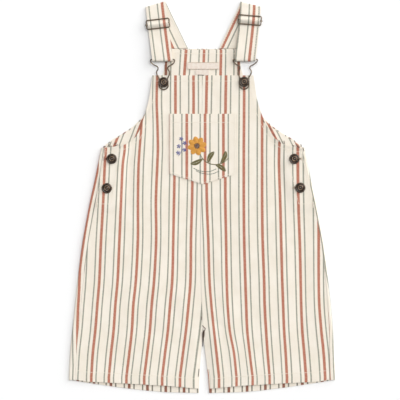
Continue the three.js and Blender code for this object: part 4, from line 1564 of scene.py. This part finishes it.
ALLOWANCE = {
    "y": [-186, -189, -194, -197, -202, -208],
    "x": [2.4, 2.2, 1.9, 1.6, 1.3, 1.2],
    "half": [0.9, 1.8, 1.6, 0.8, 0.45, 0.3],
    "z": [5.2, 5.4, 5.2, 4, 2.6, 1.6],
}
ALLOWANCE_THREADS = 40


def leg_seam():
    rows = Threads()
    for k in range(ALLOWANCE_THREADS):
        y = lerp(ALLOWANCE["y"][0], ALLOWANCE["y"][-1], k / (ALLOWANCE_THREADS - 1))
        x, half, z = (along(ALLOWANCE["y"], ALLOWANCE[name], y) for name in ("x", "half", "z"))
        half *= 0.85 + 0.15 * math.sin(2.1 * k)
        rows.add([(x - half, y - 0.3, z - 0.5), (x, y, z), (x + half, y + 0.3, z - 0.5)], 0.34)
    # Painted shade: the allowance is drawn in dark thread.
    return rows.make("leg_seam_shade_thread", SHADE_THREAD)


for side in (-1, 1):
    word = hand(side)
    back = back_panel(side)
    front = front_panel(side)
    facing = armhole_facing(side)
    stand = side_placket(side)
    ribbon = strap(side)
    strap_stitches(side)
    buckle(side)
    slider(side)
    button(f"bib_button_{word}", *BIB_BUTTONS[word], BIB_SHANK)
for node, (x, y) in SIDE_BUTTONS.items():
    button(node, x, y, SIDE_SHANK)
pocket = chest_pocket()
neck = back_facing()
for word, place in LABELS.items():
    tape = label(word)

front_stitches()
pocket_stitches()
neck_stitches()
buttonholes()
bar_tacks()
shade_marks()
leg_seam()
flower()
flower_heart()
leaves()
sprig()
ground_line()


# Floor and light

FLOOR = Sizes(half=3.0, z=-0.0003)  # in metres


def floor():
    mesh = bpy.data.meshes.new("floor")
    corners = ((-1, -1), (1, -1), (1, 1), (-1, 1))
    mesh.from_pydata([(x * FLOOR.half, y * FLOOR.half, FLOOR.z) for x, y in corners], [], [(0, 1, 2, 3)])
    mesh.materials.append(Nodes("floor").surface({"Base Color": colour("#fbfbfb"), "Roughness": 0.9}))
    add_object("floor", mesh)


def lamp(name, kind, place, power, size):
    """A lamp that looks at the garment's middle from a place, in metres. A sun's size is in degrees."""
    data = bpy.data.lights.new(name, kind)
    data.energy = power
    obj = add_object(name, data)
    obj.rotation_euler = (-Vector(place)).to_track_quat("-Z", "Y").to_euler()
    if kind == "SUN":
        data.angle = math.radians(size)
    else:
        data.size = size
        obj.location = place


floor()
lamp("key", "SUN", (0.42, 0.4, 1.5), 1.22, 30)
lamp("low", "SUN", (1.0, 0.62, 0.42), 2.15, 52)
lamp("fill", "AREA", (-0.5, 0.6, 2.3), 4, 0.16)
world = bpy.data.worlds.new("world")
world.use_nodes = True
world.node_tree.nodes["Background"].inputs["Color"].default_value = (1, 1, 1, 1)
world.node_tree.nodes["Background"].inputs["Strength"].default_value = 0.4
bpy.context.scene.world = world
